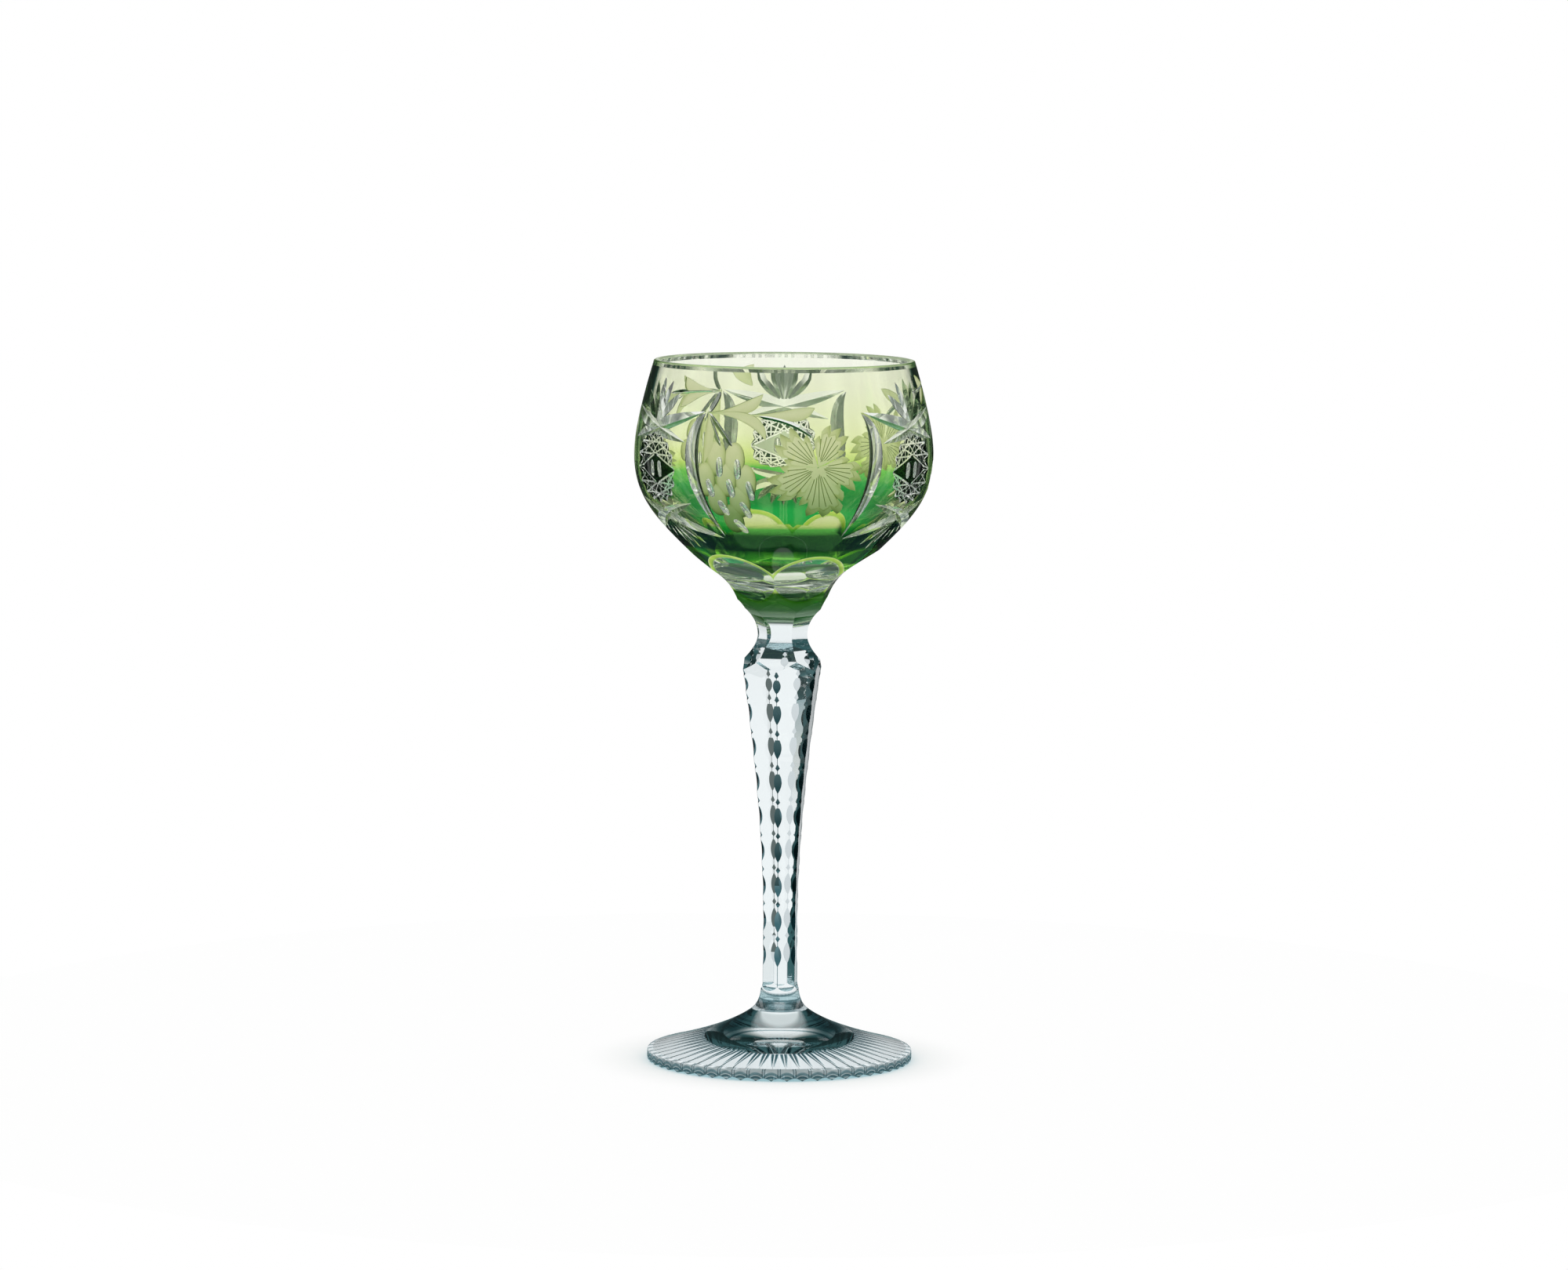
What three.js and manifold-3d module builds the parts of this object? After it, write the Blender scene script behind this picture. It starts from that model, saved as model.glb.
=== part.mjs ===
// Hock glass: a green cased bowl of cut crystal on a six-sided stem and a foot with a star-cut underside.
// Millimetres, +Z up. The origin is the middle of the plane that the foot stands on.
// Azimuths are in degrees, counted from the -Y side of the glass towards +X.

import * as THREE from 'three';
import { mergeVertices } from 'three/addons/utils/BufferGeometryUtils.js';
import Module from 'manifold-3d';

const wasm = await Module();
wasm.setup();

// Heights of the three lengths of glass, which meet on level planes
const footHeight = 15;
const stemHeight = 117;
const bowlHeight = 75;

// Bowl: the blown outline before cutting, with heights above the joint with the stem
const rimRadius = 38.1;
const bellyRadius = 43.85;
const bellyRise = 47.5;
const shoulderPull = 8.3;
const flankRadius = 23.5;
const flankRise = 15;
const flankSlope = 1.06;
const flankPull = 13.2;
const padRadius = 17;
const padPull = 4;

// Walls of the bowl: the green skin is part of the wall
const rimWall = 1.9;
const bellyWall = 3.2;
const baseWall = 6.2;
const skinAtRim = 0.4;
const skinAtBase = 0.6;
const skinEndRise = 14.2;
const cavityRise = 18.5;
const cavityFloorBreadth = 0.75;

// Rings of six flats. A radius here is the distance of a flat from the axis, a turn the azimuth of an edge
const sideCount = 6;
const baseTurn = -8;
const neckTurn = baseTurn - 30;
const stemTurn = baseTurn;

// Flats of the bowl's base, from below the joint to where they have run out of the glass
const baseLowRadius = 10.4;
const baseBendRadius = 14.35;
const baseBendRise = 11.35;
const baseTopRadius = 33.2;
const baseTopRise = 22.5;

// Flats of the waist, shared by the bowl and the stem
const collarRadius = 14;
const collarRise = 4.8;
const collarBendRise = 0.6;
const waistRadius = 6.35;
const waistDrop = 6;
const waistBendDrop = 10.3;
const waistEndRadius = 13.6;
const waistEndDrop = 17;

// Flats of the stem, from its shoulder to its ankle above the foot
const shoulderRadius = 10.85;
const shoulderDrop = 15.4;
const shoulderSlope = 0.15;
const shoulderOver = 3.5;
const ankleRadius = 4.75;
const ankleRise = 25;
const stemBendRise = 57;
const flatsEndRise = 5;
const flatsFadeRise = 8;
const flatsFadeRadius = 2.2;

// Stem before its flats are cut
const stemBlankRadius = 14.5;
const ankleBlankRadius = 5.55;
const ankleBendRise = 2.33;
const ankleBlankRise = 7;

// Notches along the stem's edges, with drops below the joint with the bowl: a diamond and a short olive under
// the shoulder, then rows of a diamond and a long olive, down to a plain length above the foot
const topDiamondDrop = 17;
const topOliveDrop = 20.6;
const topOliveLength = 4.8;
const firstRowDrop = 24.2;
const plainEndRise = 11;
const notchPitch = 10.2;
const oliveLength = 6.8;
const oliveDepth = 0.62;
const diamondLength = 2.4;
const diamondDepth = 0.4;

// Foot
const footRadius = 39.1;
const footEdge = 3.1;
const footEdgeRound = 0.5;
const footJointRadius = 8.2;
const footBendRadius = 15.3;
const footBendHeight = 9.3;
const domeRadius = 14;
const domeFlatRadius = 7;
const domeHeight = 1.2;
const fluteCount = 54;
const fluteInner = 20;
const fluteDepth = 0.9;
const fluteRadius = 3;

// Cut pattern of the bowl: three medallion panels, with heights above the joint
const panelCount = 3;
const firstPanel = 60;
const medallionRise = 44.4;
const medallionWidth = 18.2;
const medallionHeight = 19.2;
const medallionDepth = 0.8;
const medallionInnerShare = 0.55;
const upperNodeRise = 57.2;
const lowerNodeRise = 31.3;
const upperFan = { spread: 6.4, reach: 14.2, shorten: 0.08, halfWidth: 1.45, depth: 1.0 };
const lowerFan = { spread: 8, reach: -10.6, shorten: 0.05, halfWidth: 1.25, depth: 0.9 };
const petalsPerFan = 5;
const upperMitre = { near: 19.5, nearRise: 52.8, far: 27.5, farRise: 62.1, halfWidth: 2.2, depth: 1.4 };
const lowerMitre = { near: 20.5, nearRise: 35.4, far: 30.5, farRise: 25, halfWidth: 2.2, depth: 1.4 };
const crescent = { top: 28, topRise: 61.8, bow: 15.7, bowRise: 54.5, foot: 31.4, footRise: 25.2 };
const crescentHalfWidth = 2.5;
const crescentDepth = 1.5;

// Fineness of the faceted model
const roundSides = 48;
const curveSteps = 4;
const shortCurveSteps = 2;
const flankSteps = 6;
const baseSteps = 8;
const grooveStep = 8;
const tangentStep = 0.01;
const clearMargin = 16;
const notchClear = 4;
const overrun = 0.8;
const fluteOverrun = 5;
const fluteSides = 4;
const oliveSides = 3;
const diamondSides = 2;
const medallionSides = 16;
const cutterLift = 1.6;
const cutterTuck = 0.12;

// Sizes that follow from the ones above
const bowlJointZ = footHeight + stemHeight;
const flankZ = bowlJointZ + flankRise;
const bellyZ = bowlJointZ + bellyRise;
const rimZ = bowlJointZ + bowlHeight;
const skinEndZ = bowlJointZ + skinEndRise;
const shoulderZ = bowlJointZ - shoulderDrop;
const ankleZ = footHeight + ankleRise;
const clearRadius = bellyRadius + clearMargin;
const notchRows = Math.floor((stemHeight - firstRowDrop - plainEndRise) / notchPitch);

const degrees = THREE.MathUtils.degToRad;

// A closed surface whose shared corners are merged, ready to be joined or cut
function toSolid(geometry) {
  geometry.deleteAttribute('normal');
  geometry.deleteAttribute('uv');
  const merged = mergeVertices(geometry);
  const mesh = new wasm.Mesh({
    numProp: 3,
    vertProperties: Float32Array.from(merged.attributes.position.array),
    triVerts: Uint32Array.from(merged.index.array),
  });
  return new wasm.Manifold(mesh);
}

function toGeometry(solid) {
  const mesh = solid.getMesh();
  const geometry = new THREE.BufferGeometry();
  geometry.setAttribute('position', new THREE.BufferAttribute(mesh.vertProperties, 3));
  geometry.setIndex(new THREE.BufferAttribute(mesh.triVerts, 1));
  geometry.computeVertexNormals();
  return geometry;
}

function cutAll(solid, cutters) {
  return cutters.reduce((rest, cutter) => rest.subtract(cutter), solid);
}

// Points are radius and height. A lathe turns about Y, so the solid is tipped to stand along Z
function turned(points, sides = roundSides) {
  const geometry = new THREE.LatheGeometry(points, sides);
  geometry.rotateX(Math.PI / 2);
  return toSolid(geometry);
}

function at(radius, height) {
  return new THREE.Vector2(radius, height);
}

// Blown outline of the bowl, from the joint with the stem up to the rim
function bowlOutline() {
  const pad = new THREE.QuadraticBezierCurve(
    at(padRadius, bowlJointZ),
    at(flankRadius - padPull * flankSlope, flankZ - padPull),
    at(flankRadius, flankZ),
  );
  const flank = new THREE.CubicBezierCurve(
    at(flankRadius, flankZ),
    at(flankRadius + flankPull * flankSlope, flankZ + flankPull),
    at(bellyRadius, bellyZ - flankPull),
    at(bellyRadius, bellyZ),
  );
  const top = new THREE.QuadraticBezierCurve(
    at(bellyRadius, bellyZ),
    at(bellyRadius, bellyZ + shoulderPull),
    at(rimRadius, rimZ),
  );
  return [
    ...pad.getPoints(shortCurveSteps),
    ...flank.getPoints(flankSteps).slice(1),
    ...top.getPoints(curveSteps).slice(1),
  ];
}

// Radius of an outline at a height, and the slope of the radius there
function radiusAt(points, z) {
  const next = points.findIndex((point) => point.y >= z);
  const index = THREE.MathUtils.clamp(next < 0 ? points.length - 1 : next, 1, points.length - 1);
  const below = points[index - 1];
  const above = points[index];
  const slope = (above.x - below.x) / (above.y - below.y);
  return { radius: below.x + slope * (z - below.y), slope };
}

const outline = bowlOutline();

// The outline moved inwards by a wall that varies with height, ending on the same rim plane
function innerOutline(thicknessAt, fromZ) {
  const moved = outline.map((point) => {
    const { slope } = radiusAt(outline, point.y);
    const normal = at(1, -slope).normalize();
    return point.clone().addScaledVector(normal, -thicknessAt(point.y));
  });
  const rim = at(rimRadius - thicknessAt(rimZ), rimZ);
  return [...moved.filter((point) => point.y > fromZ + overrun && point.y < rimZ - overrun), rim];
}

function blend(z, low, high, atLow, atHigh) {
  return THREE.MathUtils.mapLinear(THREE.MathUtils.clamp(z, low, high), low, high, atLow, atHigh);
}

function skinAt(z) {
  return blend(z, skinEndZ, rimZ, skinAtBase, skinAtRim);
}

function wallAt(z) {
  if (z > bellyZ) return blend(z, bellyZ, rimZ, bellyWall, rimWall);
  return blend(z, skinEndZ, bellyZ, baseWall, bellyWall);
}

// The face between the green skin and the crystal, used by both
function skinSeat() {
  const { radius, slope } = radiusAt(outline, skinEndZ);
  const seatRadius = radius - skinAtBase * Math.hypot(1, slope);
  return [at(seatRadius, skinEndZ), ...innerOutline(skinAt, skinEndZ)];
}

function casingBlank() {
  const outside = outline.filter((point) => point.y > skinEndZ);
  const start = at(radiusAt(outline, skinEndZ).radius, skinEndZ);
  const seat = skinSeat();
  return turned([start, ...outside, ...seat.reverse(), start]);
}

function crystalBlank() {
  const below = outline.filter((point) => point.y < skinEndZ);
  const ledge = at(radiusAt(outline, skinEndZ).radius, skinEndZ);
  const cavityZ = bowlJointZ + cavityRise;
  const wall = innerOutline(wallAt, cavityZ);
  const low = wall[0];
  const bend = at(low.x * cavityFloorBreadth, cavityZ);
  const floor = new THREE.QuadraticBezierCurve(at(0, cavityZ), bend, low).getPoints(curveSteps);
  const inside = [...floor, ...wall.slice(1)];
  return turned([at(0, bowlJointZ), ...below, ledge, ...skinSeat(), ...inside.reverse()]);
}

// Directions outwards, up and across at an azimuth in radians
function directionsAt(azimuth) {
  const outwards = new THREE.Vector3(Math.sin(azimuth), -Math.cos(azimuth), 0);
  const up = new THREE.Vector3(0, 0, 1);
  return { outwards, up, across: outwards.clone().cross(up) };
}

// Turns a flat shape drawn in radius and height, with its third axis across, to stand at an azimuth
function standAt(geometry, azimuth) {
  const { outwards, up, across } = directionsAt(azimuth);
  return geometry.applyMatrix4(new THREE.Matrix4().makeBasis(outwards, up, across));
}

// Everything outside one ring of flats, given the line of a flat from its lower to its upper end
function ringCutters(line, turn) {
  const low = line[0];
  const high = line[line.length - 1];
  const shape = new THREE.Shape([...line, at(clearRadius, high.y), at(clearRadius, low.y)]);
  return Array.from({ length: sideCount }, (_, side) => {
    const geometry = new THREE.ExtrudeGeometry(shape, { depth: 2 * clearRadius, bevelEnabled: false });
    geometry.translate(0, 0, -clearRadius);
    return toSolid(standAt(geometry, degrees(turn + ((side + 0.5) * 360) / sideCount)));
  });
}

// Line of the base's flats, which run out through the green skin in arches, and straight on past the belly
function baseLine() {
  const low = at(baseLowRadius, bowlJointZ - overrun);
  const bend = at(baseBendRadius, bowlJointZ + baseBendRise);
  const top = at(baseTopRadius, bowlJointZ + baseTopRise);
  const slope = (top.x - bend.x) / (top.y - bend.y);
  const endRadius = bellyRadius + overrun;
  const end = at(endRadius, top.y + (endRadius - top.x) / slope);
  return [...new THREE.CubicBezierCurve(low, bend, bend, top).getPoints(baseSteps), end];
}

// Line of the waist's flats, from under the shoulder's ridge to over the collar's ridge
function neckLine() {
  const waist = at(waistRadius, bowlJointZ - waistDrop);
  const below = new THREE.QuadraticBezierCurve(
    at(waistEndRadius, bowlJointZ - waistEndDrop),
    at(waistRadius, bowlJointZ - waistBendDrop),
    waist,
  );
  const above = new THREE.QuadraticBezierCurve(
    waist,
    at(waistRadius, bowlJointZ + collarBendRise),
    at(collarRadius, bowlJointZ + collarRise),
  );
  return [...below.getPoints(curveSteps), ...above.getPoints(curveSteps).slice(1)];
}

// Line of the stem's flats, which run out into the round ankle at the foot
function stemLine() {
  const fade = new THREE.QuadraticBezierCurve(
    at(ankleRadius + flatsFadeRadius, footHeight + flatsEndRise),
    at(ankleRadius, footHeight + flatsEndRise + overrun),
    at(ankleRadius, footHeight + flatsFadeRise),
  );
  const taper = new THREE.QuadraticBezierCurve(
    at(ankleRadius, ankleZ),
    at(ankleRadius, footHeight + stemBendRise),
    at(shoulderRadius, shoulderZ),
  );
  const top = at(shoulderRadius + shoulderSlope * shoulderOver, shoulderZ + shoulderOver);
  return [...fade.getPoints(curveSteps), ...taper.getPoints(curveSteps), top];
}

const baseRing = ringCutters(baseLine(), baseTurn);
const neckRing = ringCutters(neckLine(), neckTurn);
const stemFlats = stemLine();
const stemRing = ringCutters(stemFlats, stemTurn);

function stemBlank() {
  const flare = new THREE.QuadraticBezierCurve(
    at(footJointRadius, footHeight),
    at(ankleBlankRadius, footHeight + ankleBendRise),
    at(ankleBlankRadius, footHeight + ankleBlankRise),
  ).getPoints(curveSteps);
  return turned([
    at(0, footHeight),
    ...flare,
    at(stemBlankRadius, ankleZ),
    at(stemBlankRadius, bowlJointZ),
    at(0, bowlJointZ),
  ]);
}

// One notch across an edge of the stem, cut square to the edge: an arc, or two flats for a diamond
function notchCutter(z, azimuth, length, depth, steps) {
  const half = length / 2;
  const edge = radiusAt(stemFlats, z).radius / Math.cos(Math.PI / sideCount);
  const arc = Array.from({ length: steps + 1 }, (_, step) => {
    const along = (2 * step) / steps - 1;
    return at(edge + cutterTuck - (depth + cutterTuck) * (1 - along * along), z + along * half);
  });
  const shape = new THREE.Shape([...arc, at(edge + notchClear, z + half), at(edge + notchClear, z - half)]);
  const geometry = new THREE.ExtrudeGeometry(shape, { depth: 2 * notchClear, bevelEnabled: false });
  geometry.translate(0, 0, -notchClear);
  return toSolid(standAt(geometry, azimuth));
}

function stemNotches() {
  const cutters = [];
  for (let side = 0; side < sideCount; side += 1) {
    const azimuth = degrees(stemTurn + (side * 360) / sideCount);
    const topDiamondZ = bowlJointZ - topDiamondDrop;
    const topOliveZ = bowlJointZ - topOliveDrop;
    cutters.push(notchCutter(topDiamondZ, azimuth, diamondLength, diamondDepth, diamondSides));
    cutters.push(notchCutter(topOliveZ, azimuth, topOliveLength, oliveDepth, oliveSides));
    for (let row = 0; row < notchRows; row += 1) {
      const diamondZ = bowlJointZ - firstRowDrop - row * notchPitch;
      const oliveZ = diamondZ - notchPitch / 2;
      cutters.push(notchCutter(diamondZ, azimuth, diamondLength, diamondDepth, diamondSides));
      cutters.push(notchCutter(oliveZ, azimuth, oliveLength, oliveDepth, oliveSides));
    }
  }
  return cutters;
}

function footBlank() {
  const top = new THREE.QuadraticBezierCurve(
    at(footRadius - footEdgeRound, footEdge),
    at(footBendRadius, footBendHeight),
    at(footJointRadius, footHeight),
  ).getPoints(curveSteps);
  const dome = new THREE.QuadraticBezierCurve(
    at(0, domeHeight),
    at(domeFlatRadius, domeHeight),
    at(domeRadius, 0),
  ).getPoints(shortCurveSteps);
  return turned(
    [
      ...dome,
      at(footRadius - footEdgeRound, 0),
      at(footRadius, footEdgeRound),
      at(footRadius, footEdge - footEdgeRound),
      ...top,
      at(0, footHeight),
    ],
    fluteCount,
  );
}

// Flutes of the foot's underside: a round-topped cut that starts at nothing and deepens towards the edge
function footFlutes() {
  const run = footRadius - fluteInner;
  const tilt = Math.atan(fluteDepth / run);
  const arc = Array.from({ length: fluteSides + 1 }, (_, step) => {
    const angle = (Math.PI * step) / fluteSides;
    return at(fluteRadius * Math.cos(angle), fluteRadius * (Math.sin(angle) - 1));
  });
  const below = -fluteRadius - footEdge;
  const shape = new THREE.Shape([...arc, at(-fluteRadius, below), at(fluteRadius, below)]);
  return Array.from({ length: fluteCount }, (_, index) => {
    const azimuth = (index * 2 * Math.PI) / fluteCount;
    const geometry = new THREE.ExtrudeGeometry(shape, { depth: run + 2 * fluteOverrun, bevelEnabled: false });
    geometry.translate(0, 0, -fluteOverrun);
    geometry.rotateX(-tilt);
    const { outwards, up, across } = directionsAt(azimuth);
    geometry.applyMatrix4(new THREE.Matrix4().makeBasis(across.negate(), up, outwards));
    geometry.translate(outwards.x * fluteInner, outwards.y * fluteInner, 0);
    return toSolid(geometry);
  });
}

// A point on the blown outside of the bowl, moved outwards by a rise, with the outward normal there
function onBowl(azimuth, z, rise) {
  const { radius, slope } = radiusAt(outline, z);
  const turn = degrees(azimuth);
  const outwards = new THREE.Vector3(Math.sin(turn), -Math.cos(turn), 0);
  const normal = outwards.clone().sub(new THREE.Vector3(0, 0, slope)).normalize();
  const point = outwards.clone().multiplyScalar(radius);
  point.z = z;
  return { point: point.addScaledVector(normal, rise), normal };
}

// A groove of the cutting wheel: V-shaped, pointed at both ends, following a path of azimuth and height
function grooveCutter(path, halfWidth, depth) {
  const from = onBowl(path.getPoint(0).x, path.getPoint(0).y, 0).point;
  const to = onBowl(path.getPoint(1).x, path.getPoint(1).y, 0).point;
  const steps = Math.max(2, Math.round(from.distanceTo(to) / grooveStep));
  const corners = [];
  for (let step = 0; step <= steps; step += 1) {
    const along = step / steps;
    const here = path.getPoint(along);
    const ahead = path.getPoint(Math.min(1, along + tangentStep));
    const behind = path.getPoint(Math.max(0, along - tangentStep));
    const { point, normal } = onBowl(here.x, here.y, 0);
    const run = onBowl(ahead.x, ahead.y, 0).point.sub(onBowl(behind.x, behind.y, 0).point);
    const side = normal.clone().cross(run).normalize();
    const sink = (depth + cutterTuck) * 4 * along * (1 - along) - cutterTuck;
    const flare = ((sink + cutterLift) * halfWidth) / depth;
    corners.push(point.clone().addScaledVector(normal, -sink));
    corners.push(point.clone().addScaledVector(normal, cutterLift).addScaledVector(side, flare));
    corners.push(point.clone().addScaledVector(normal, cutterLift).addScaledVector(side, -flare));
  }
  const faces = [0, 2, 1];
  for (let step = 0; step < steps; step += 1) {
    for (let edge = 0; edge < 3; edge += 1) {
      const a = 3 * step + edge;
      const b = 3 * step + ((edge + 1) % 3);
      faces.push(a, b, a + 3, b, b + 3, a + 3);
    }
  }
  const end = 3 * steps;
  faces.push(end, end + 1, end + 2);
  const geometry = new THREE.BufferGeometry().setFromPoints(corners);
  geometry.setIndex(faces);
  return toSolid(geometry);
}

function straightPath(fromAzimuth, fromRise, toAzimuth, toRise) {
  return new THREE.LineCurve(at(fromAzimuth, bowlJointZ + fromRise), at(toAzimuth, bowlJointZ + toRise));
}

function fanCutters(centre, nodeRise, fan) {
  const middle = (petalsPerFan - 1) / 2;
  return Array.from({ length: petalsPerFan }, (_, petal) => {
    const place = petal - middle;
    const reach = fan.reach * (1 - fan.shorten * place * place);
    const path = straightPath(centre, nodeRise, centre + place * fan.spread, nodeRise + reach);
    return grooveCutter(path, fan.halfWidth, fan.depth);
  });
}

function mitreCutters(centre, mitre) {
  return [-1, 1].map((hand) => {
    const near = centre - hand * mitre.near;
    const far = centre + hand * mitre.far;
    return grooveCutter(straightPath(near, mitre.nearRise, far, mitre.farRise), mitre.halfWidth, mitre.depth);
  });
}

function crescentCutters(centre) {
  return [-1, 1].map((hand) => {
    const path = new THREE.QuadraticBezierCurve(
      at(centre + hand * crescent.top, bowlJointZ + crescent.topRise),
      at(centre + hand * crescent.bow, bowlJointZ + crescent.bowRise),
      at(centre + hand * crescent.foot, bowlJointZ + crescent.footRise),
    );
    return grooveCutter(path, crescentHalfWidth, crescentDepth);
  });
}

// The oval field of a medallion, ground through the green skin to an even depth: rings around a middle
function medallionCutter(centre) {
  const centreZ = bowlJointZ + medallionRise;
  const corners = [];
  const addPoint = (across, up, rise) => {
    const { radius, slope } = radiusAt(outline, centreZ + up);
    const azimuth = centre + THREE.MathUtils.radToDeg(across / radius);
    corners.push(onBowl(azimuth, centreZ + up / Math.hypot(1, slope), rise).point);
  };
  const addRing = (share, rise) => {
    for (let side = 0; side < medallionSides; side += 1) {
      const angle = (side * 2 * Math.PI) / medallionSides;
      const across = (share * medallionWidth * Math.cos(angle)) / 2;
      addPoint(across, (share * medallionHeight * Math.sin(angle)) / 2, rise);
    }
  };
  addRing(medallionInnerShare, -medallionDepth);
  addRing(1, -medallionDepth);
  addRing(1, cutterLift);
  addPoint(0, 0, -medallionDepth);
  addPoint(0, 0, cutterLift);
  const bottom = 3 * medallionSides;
  const top = bottom + 1;
  const faces = [];
  for (let side = 0; side < medallionSides; side += 1) {
    const next = (side + 1) % medallionSides;
    const outer = 2 * medallionSides;
    faces.push(bottom, next, side, top, outer + side, outer + next);
    for (let ring = 0; ring < outer; ring += medallionSides) {
      const a = ring + side;
      const b = ring + next;
      faces.push(a, b, b + medallionSides, a, b + medallionSides, a + medallionSides);
    }
  }
  const geometry = new THREE.BufferGeometry().setFromPoints(corners);
  geometry.setIndex(faces);
  return toSolid(geometry);
}

function panelCutters() {
  return Array.from({ length: panelCount }, (_, index) => firstPanel + (index * 360) / panelCount).flatMap(
    (centre) => [
      medallionCutter(centre),
      ...fanCutters(centre, upperNodeRise, upperFan),
      ...fanCutters(centre, lowerNodeRise, lowerFan),
      ...mitreCutters(centre, upperMitre),
      ...mitreCutters(centre, lowerMitre),
      ...crescentCutters(centre),
    ],
  );
}

const bowlCuts = [...panelCutters(), ...baseRing];
const casing = cutAll(casingBlank(), bowlCuts);
const crystal = cutAll(cutAll(crystalBlank(), bowlCuts), neckRing);
const stem = cutAll(stemBlank(), [...neckRing, ...stemRing, ...stemNotches()]);
const foot = cutAll(footBlank(), footFlutes());

function piece(name, solid, material) {
  const mesh = new THREE.Mesh(toGeometry(solid), material);
  mesh.name = name;
  return mesh;
}

const clearGlass = { color: 0xdfe9ea, roughness: 0.04, metalness: 0, transparent: true, opacity: 0.4 };
const greenGlass = { color: 0x5cb83a, roughness: 0.04, metalness: 0, transparent: true, opacity: 0.6 };

const hockGlass = new THREE.Group();
hockGlass.name = 'hock_glass';
hockGlass.add(piece('bowl_crystal', crystal, new THREE.MeshStandardMaterial(clearGlass)));
hockGlass.add(piece('green_casing', casing, new THREE.MeshStandardMaterial(greenGlass)));
hockGlass.add(piece('stem', stem, new THREE.MeshStandardMaterial(clearGlass)));
hockGlass.add(piece('foot', foot, new THREE.MeshStandardMaterial(clearGlass)));

export default hockGlass;
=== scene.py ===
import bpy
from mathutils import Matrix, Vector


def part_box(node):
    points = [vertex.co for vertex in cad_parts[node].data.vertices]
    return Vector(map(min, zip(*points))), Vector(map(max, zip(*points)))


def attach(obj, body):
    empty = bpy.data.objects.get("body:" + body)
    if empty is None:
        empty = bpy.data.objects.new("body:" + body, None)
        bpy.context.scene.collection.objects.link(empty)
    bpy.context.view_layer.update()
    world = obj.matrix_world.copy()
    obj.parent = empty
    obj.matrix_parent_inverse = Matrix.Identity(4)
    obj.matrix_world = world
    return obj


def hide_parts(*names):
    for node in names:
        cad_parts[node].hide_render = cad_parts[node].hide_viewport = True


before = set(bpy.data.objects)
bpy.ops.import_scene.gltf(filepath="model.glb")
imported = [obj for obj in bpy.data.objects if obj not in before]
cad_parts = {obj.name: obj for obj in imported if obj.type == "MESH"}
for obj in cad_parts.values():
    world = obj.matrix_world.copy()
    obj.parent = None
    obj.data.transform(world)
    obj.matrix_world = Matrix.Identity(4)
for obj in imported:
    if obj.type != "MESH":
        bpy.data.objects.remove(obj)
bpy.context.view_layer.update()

import math

import bmesh
import bpy
import numpy as np
from mathutils import Euler, Quaternion

# Hock glass: a cut bowl of clear crystal under a green skin, a six-sided notched stem and a foot with a
# star-cut underside. Shapes are in millimetres and degrees, in the frame of the CAD model: +Z up, azimuths
# counted from the -Y side towards +X. A rise in the bowl is a height above its joint with the stem.
MM = 0.001


def highest(node):
    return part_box(node)[1].z / MM


# Heights taken from the frame
FOOT_TOP = highest("foot")
BOWL_JOINT = highest("stem")
RIM = highest("green_casing")

# Bowl before cutting
RIM_RADIUS = 38.1
BELLY_RADIUS = 43.85
BELLY_Z = BOWL_JOINT + 47.5
SHOULDER_PULL = 8.3
FLANK_RADIUS = 23.5
FLANK_Z = BOWL_JOINT + 15.0
FLANK_SLOPE = 1.06
FLANK_PULL = 13.2
PAD_RADIUS = 17.0
PAD_PULL = 4.0
RIM_ROUND = 0.6

# Walls of the bowl; the green skin is part of the wall
RIM_WALL = 1.9
BELLY_WALL = 3.2
BASE_WALL = 6.2
SKIN_AT_RIM = 0.4
SKIN_AT_BASE = 0.6
SKIN_END = BOWL_JOINT + 14.2
CAVITY_FLOOR = BOWL_JOINT + 18.5
CAVITY_FLOOR_BREADTH = 0.75

# Fineness of the round shapes, and how far cutters reach out of the glass
BOWL_SIDES = 240
STEM_SIDES = 96
FOOT_SIDES_PER_FLUTE = 8
BEYOND = 60.0
LIFT = 0.8
TUCK = 0.06
ON_AXIS = 1e-9

# Material slots of the bowl's pieces, slots of the stem and foot, and the name of the painted shade kept on
# a surface
SKIN, FUSED, CUT, MATTE, INNER, BASE = range(6)
CLEAR_GLASS, JOINT, NOTCH, EDGE = range(4)
SHADE = "shade"


# Curves

def bezier(corners, count):
    """Points along a Bezier curve of any degree."""
    share = np.linspace(0, 1, count)[:, None]
    rows = [np.array(corner, float) * np.ones_like(share) for corner in corners]
    while len(rows) > 1:
        rows = [(1 - share) * a + share * b for a, b in zip(rows, rows[1:])]
    return rows[0]


def straight(start, end, count=14):
    return np.linspace(start, end, count)


def between(ends, share):
    return ends[0] + (ends[1] - ends[0]) * share


def raised(corners, height):
    return [(radius, height + rise) for radius, rise in corners]


def oval(count, size):
    turns = np.arange(count) * 2 * math.pi / count
    return np.column_stack([np.cos(turns) * size[0], np.sin(turns) * size[1]])


def finer(outline, count):
    """A closed outline with each of its sides split evenly."""
    outline = np.asarray(outline, float)
    share = np.linspace(0, 1, count, endpoint=False)[:, None]
    return np.vstack([a * (1 - share) + b * share for a, b in zip(outline, np.roll(outline, -1, axis=0))])


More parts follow.
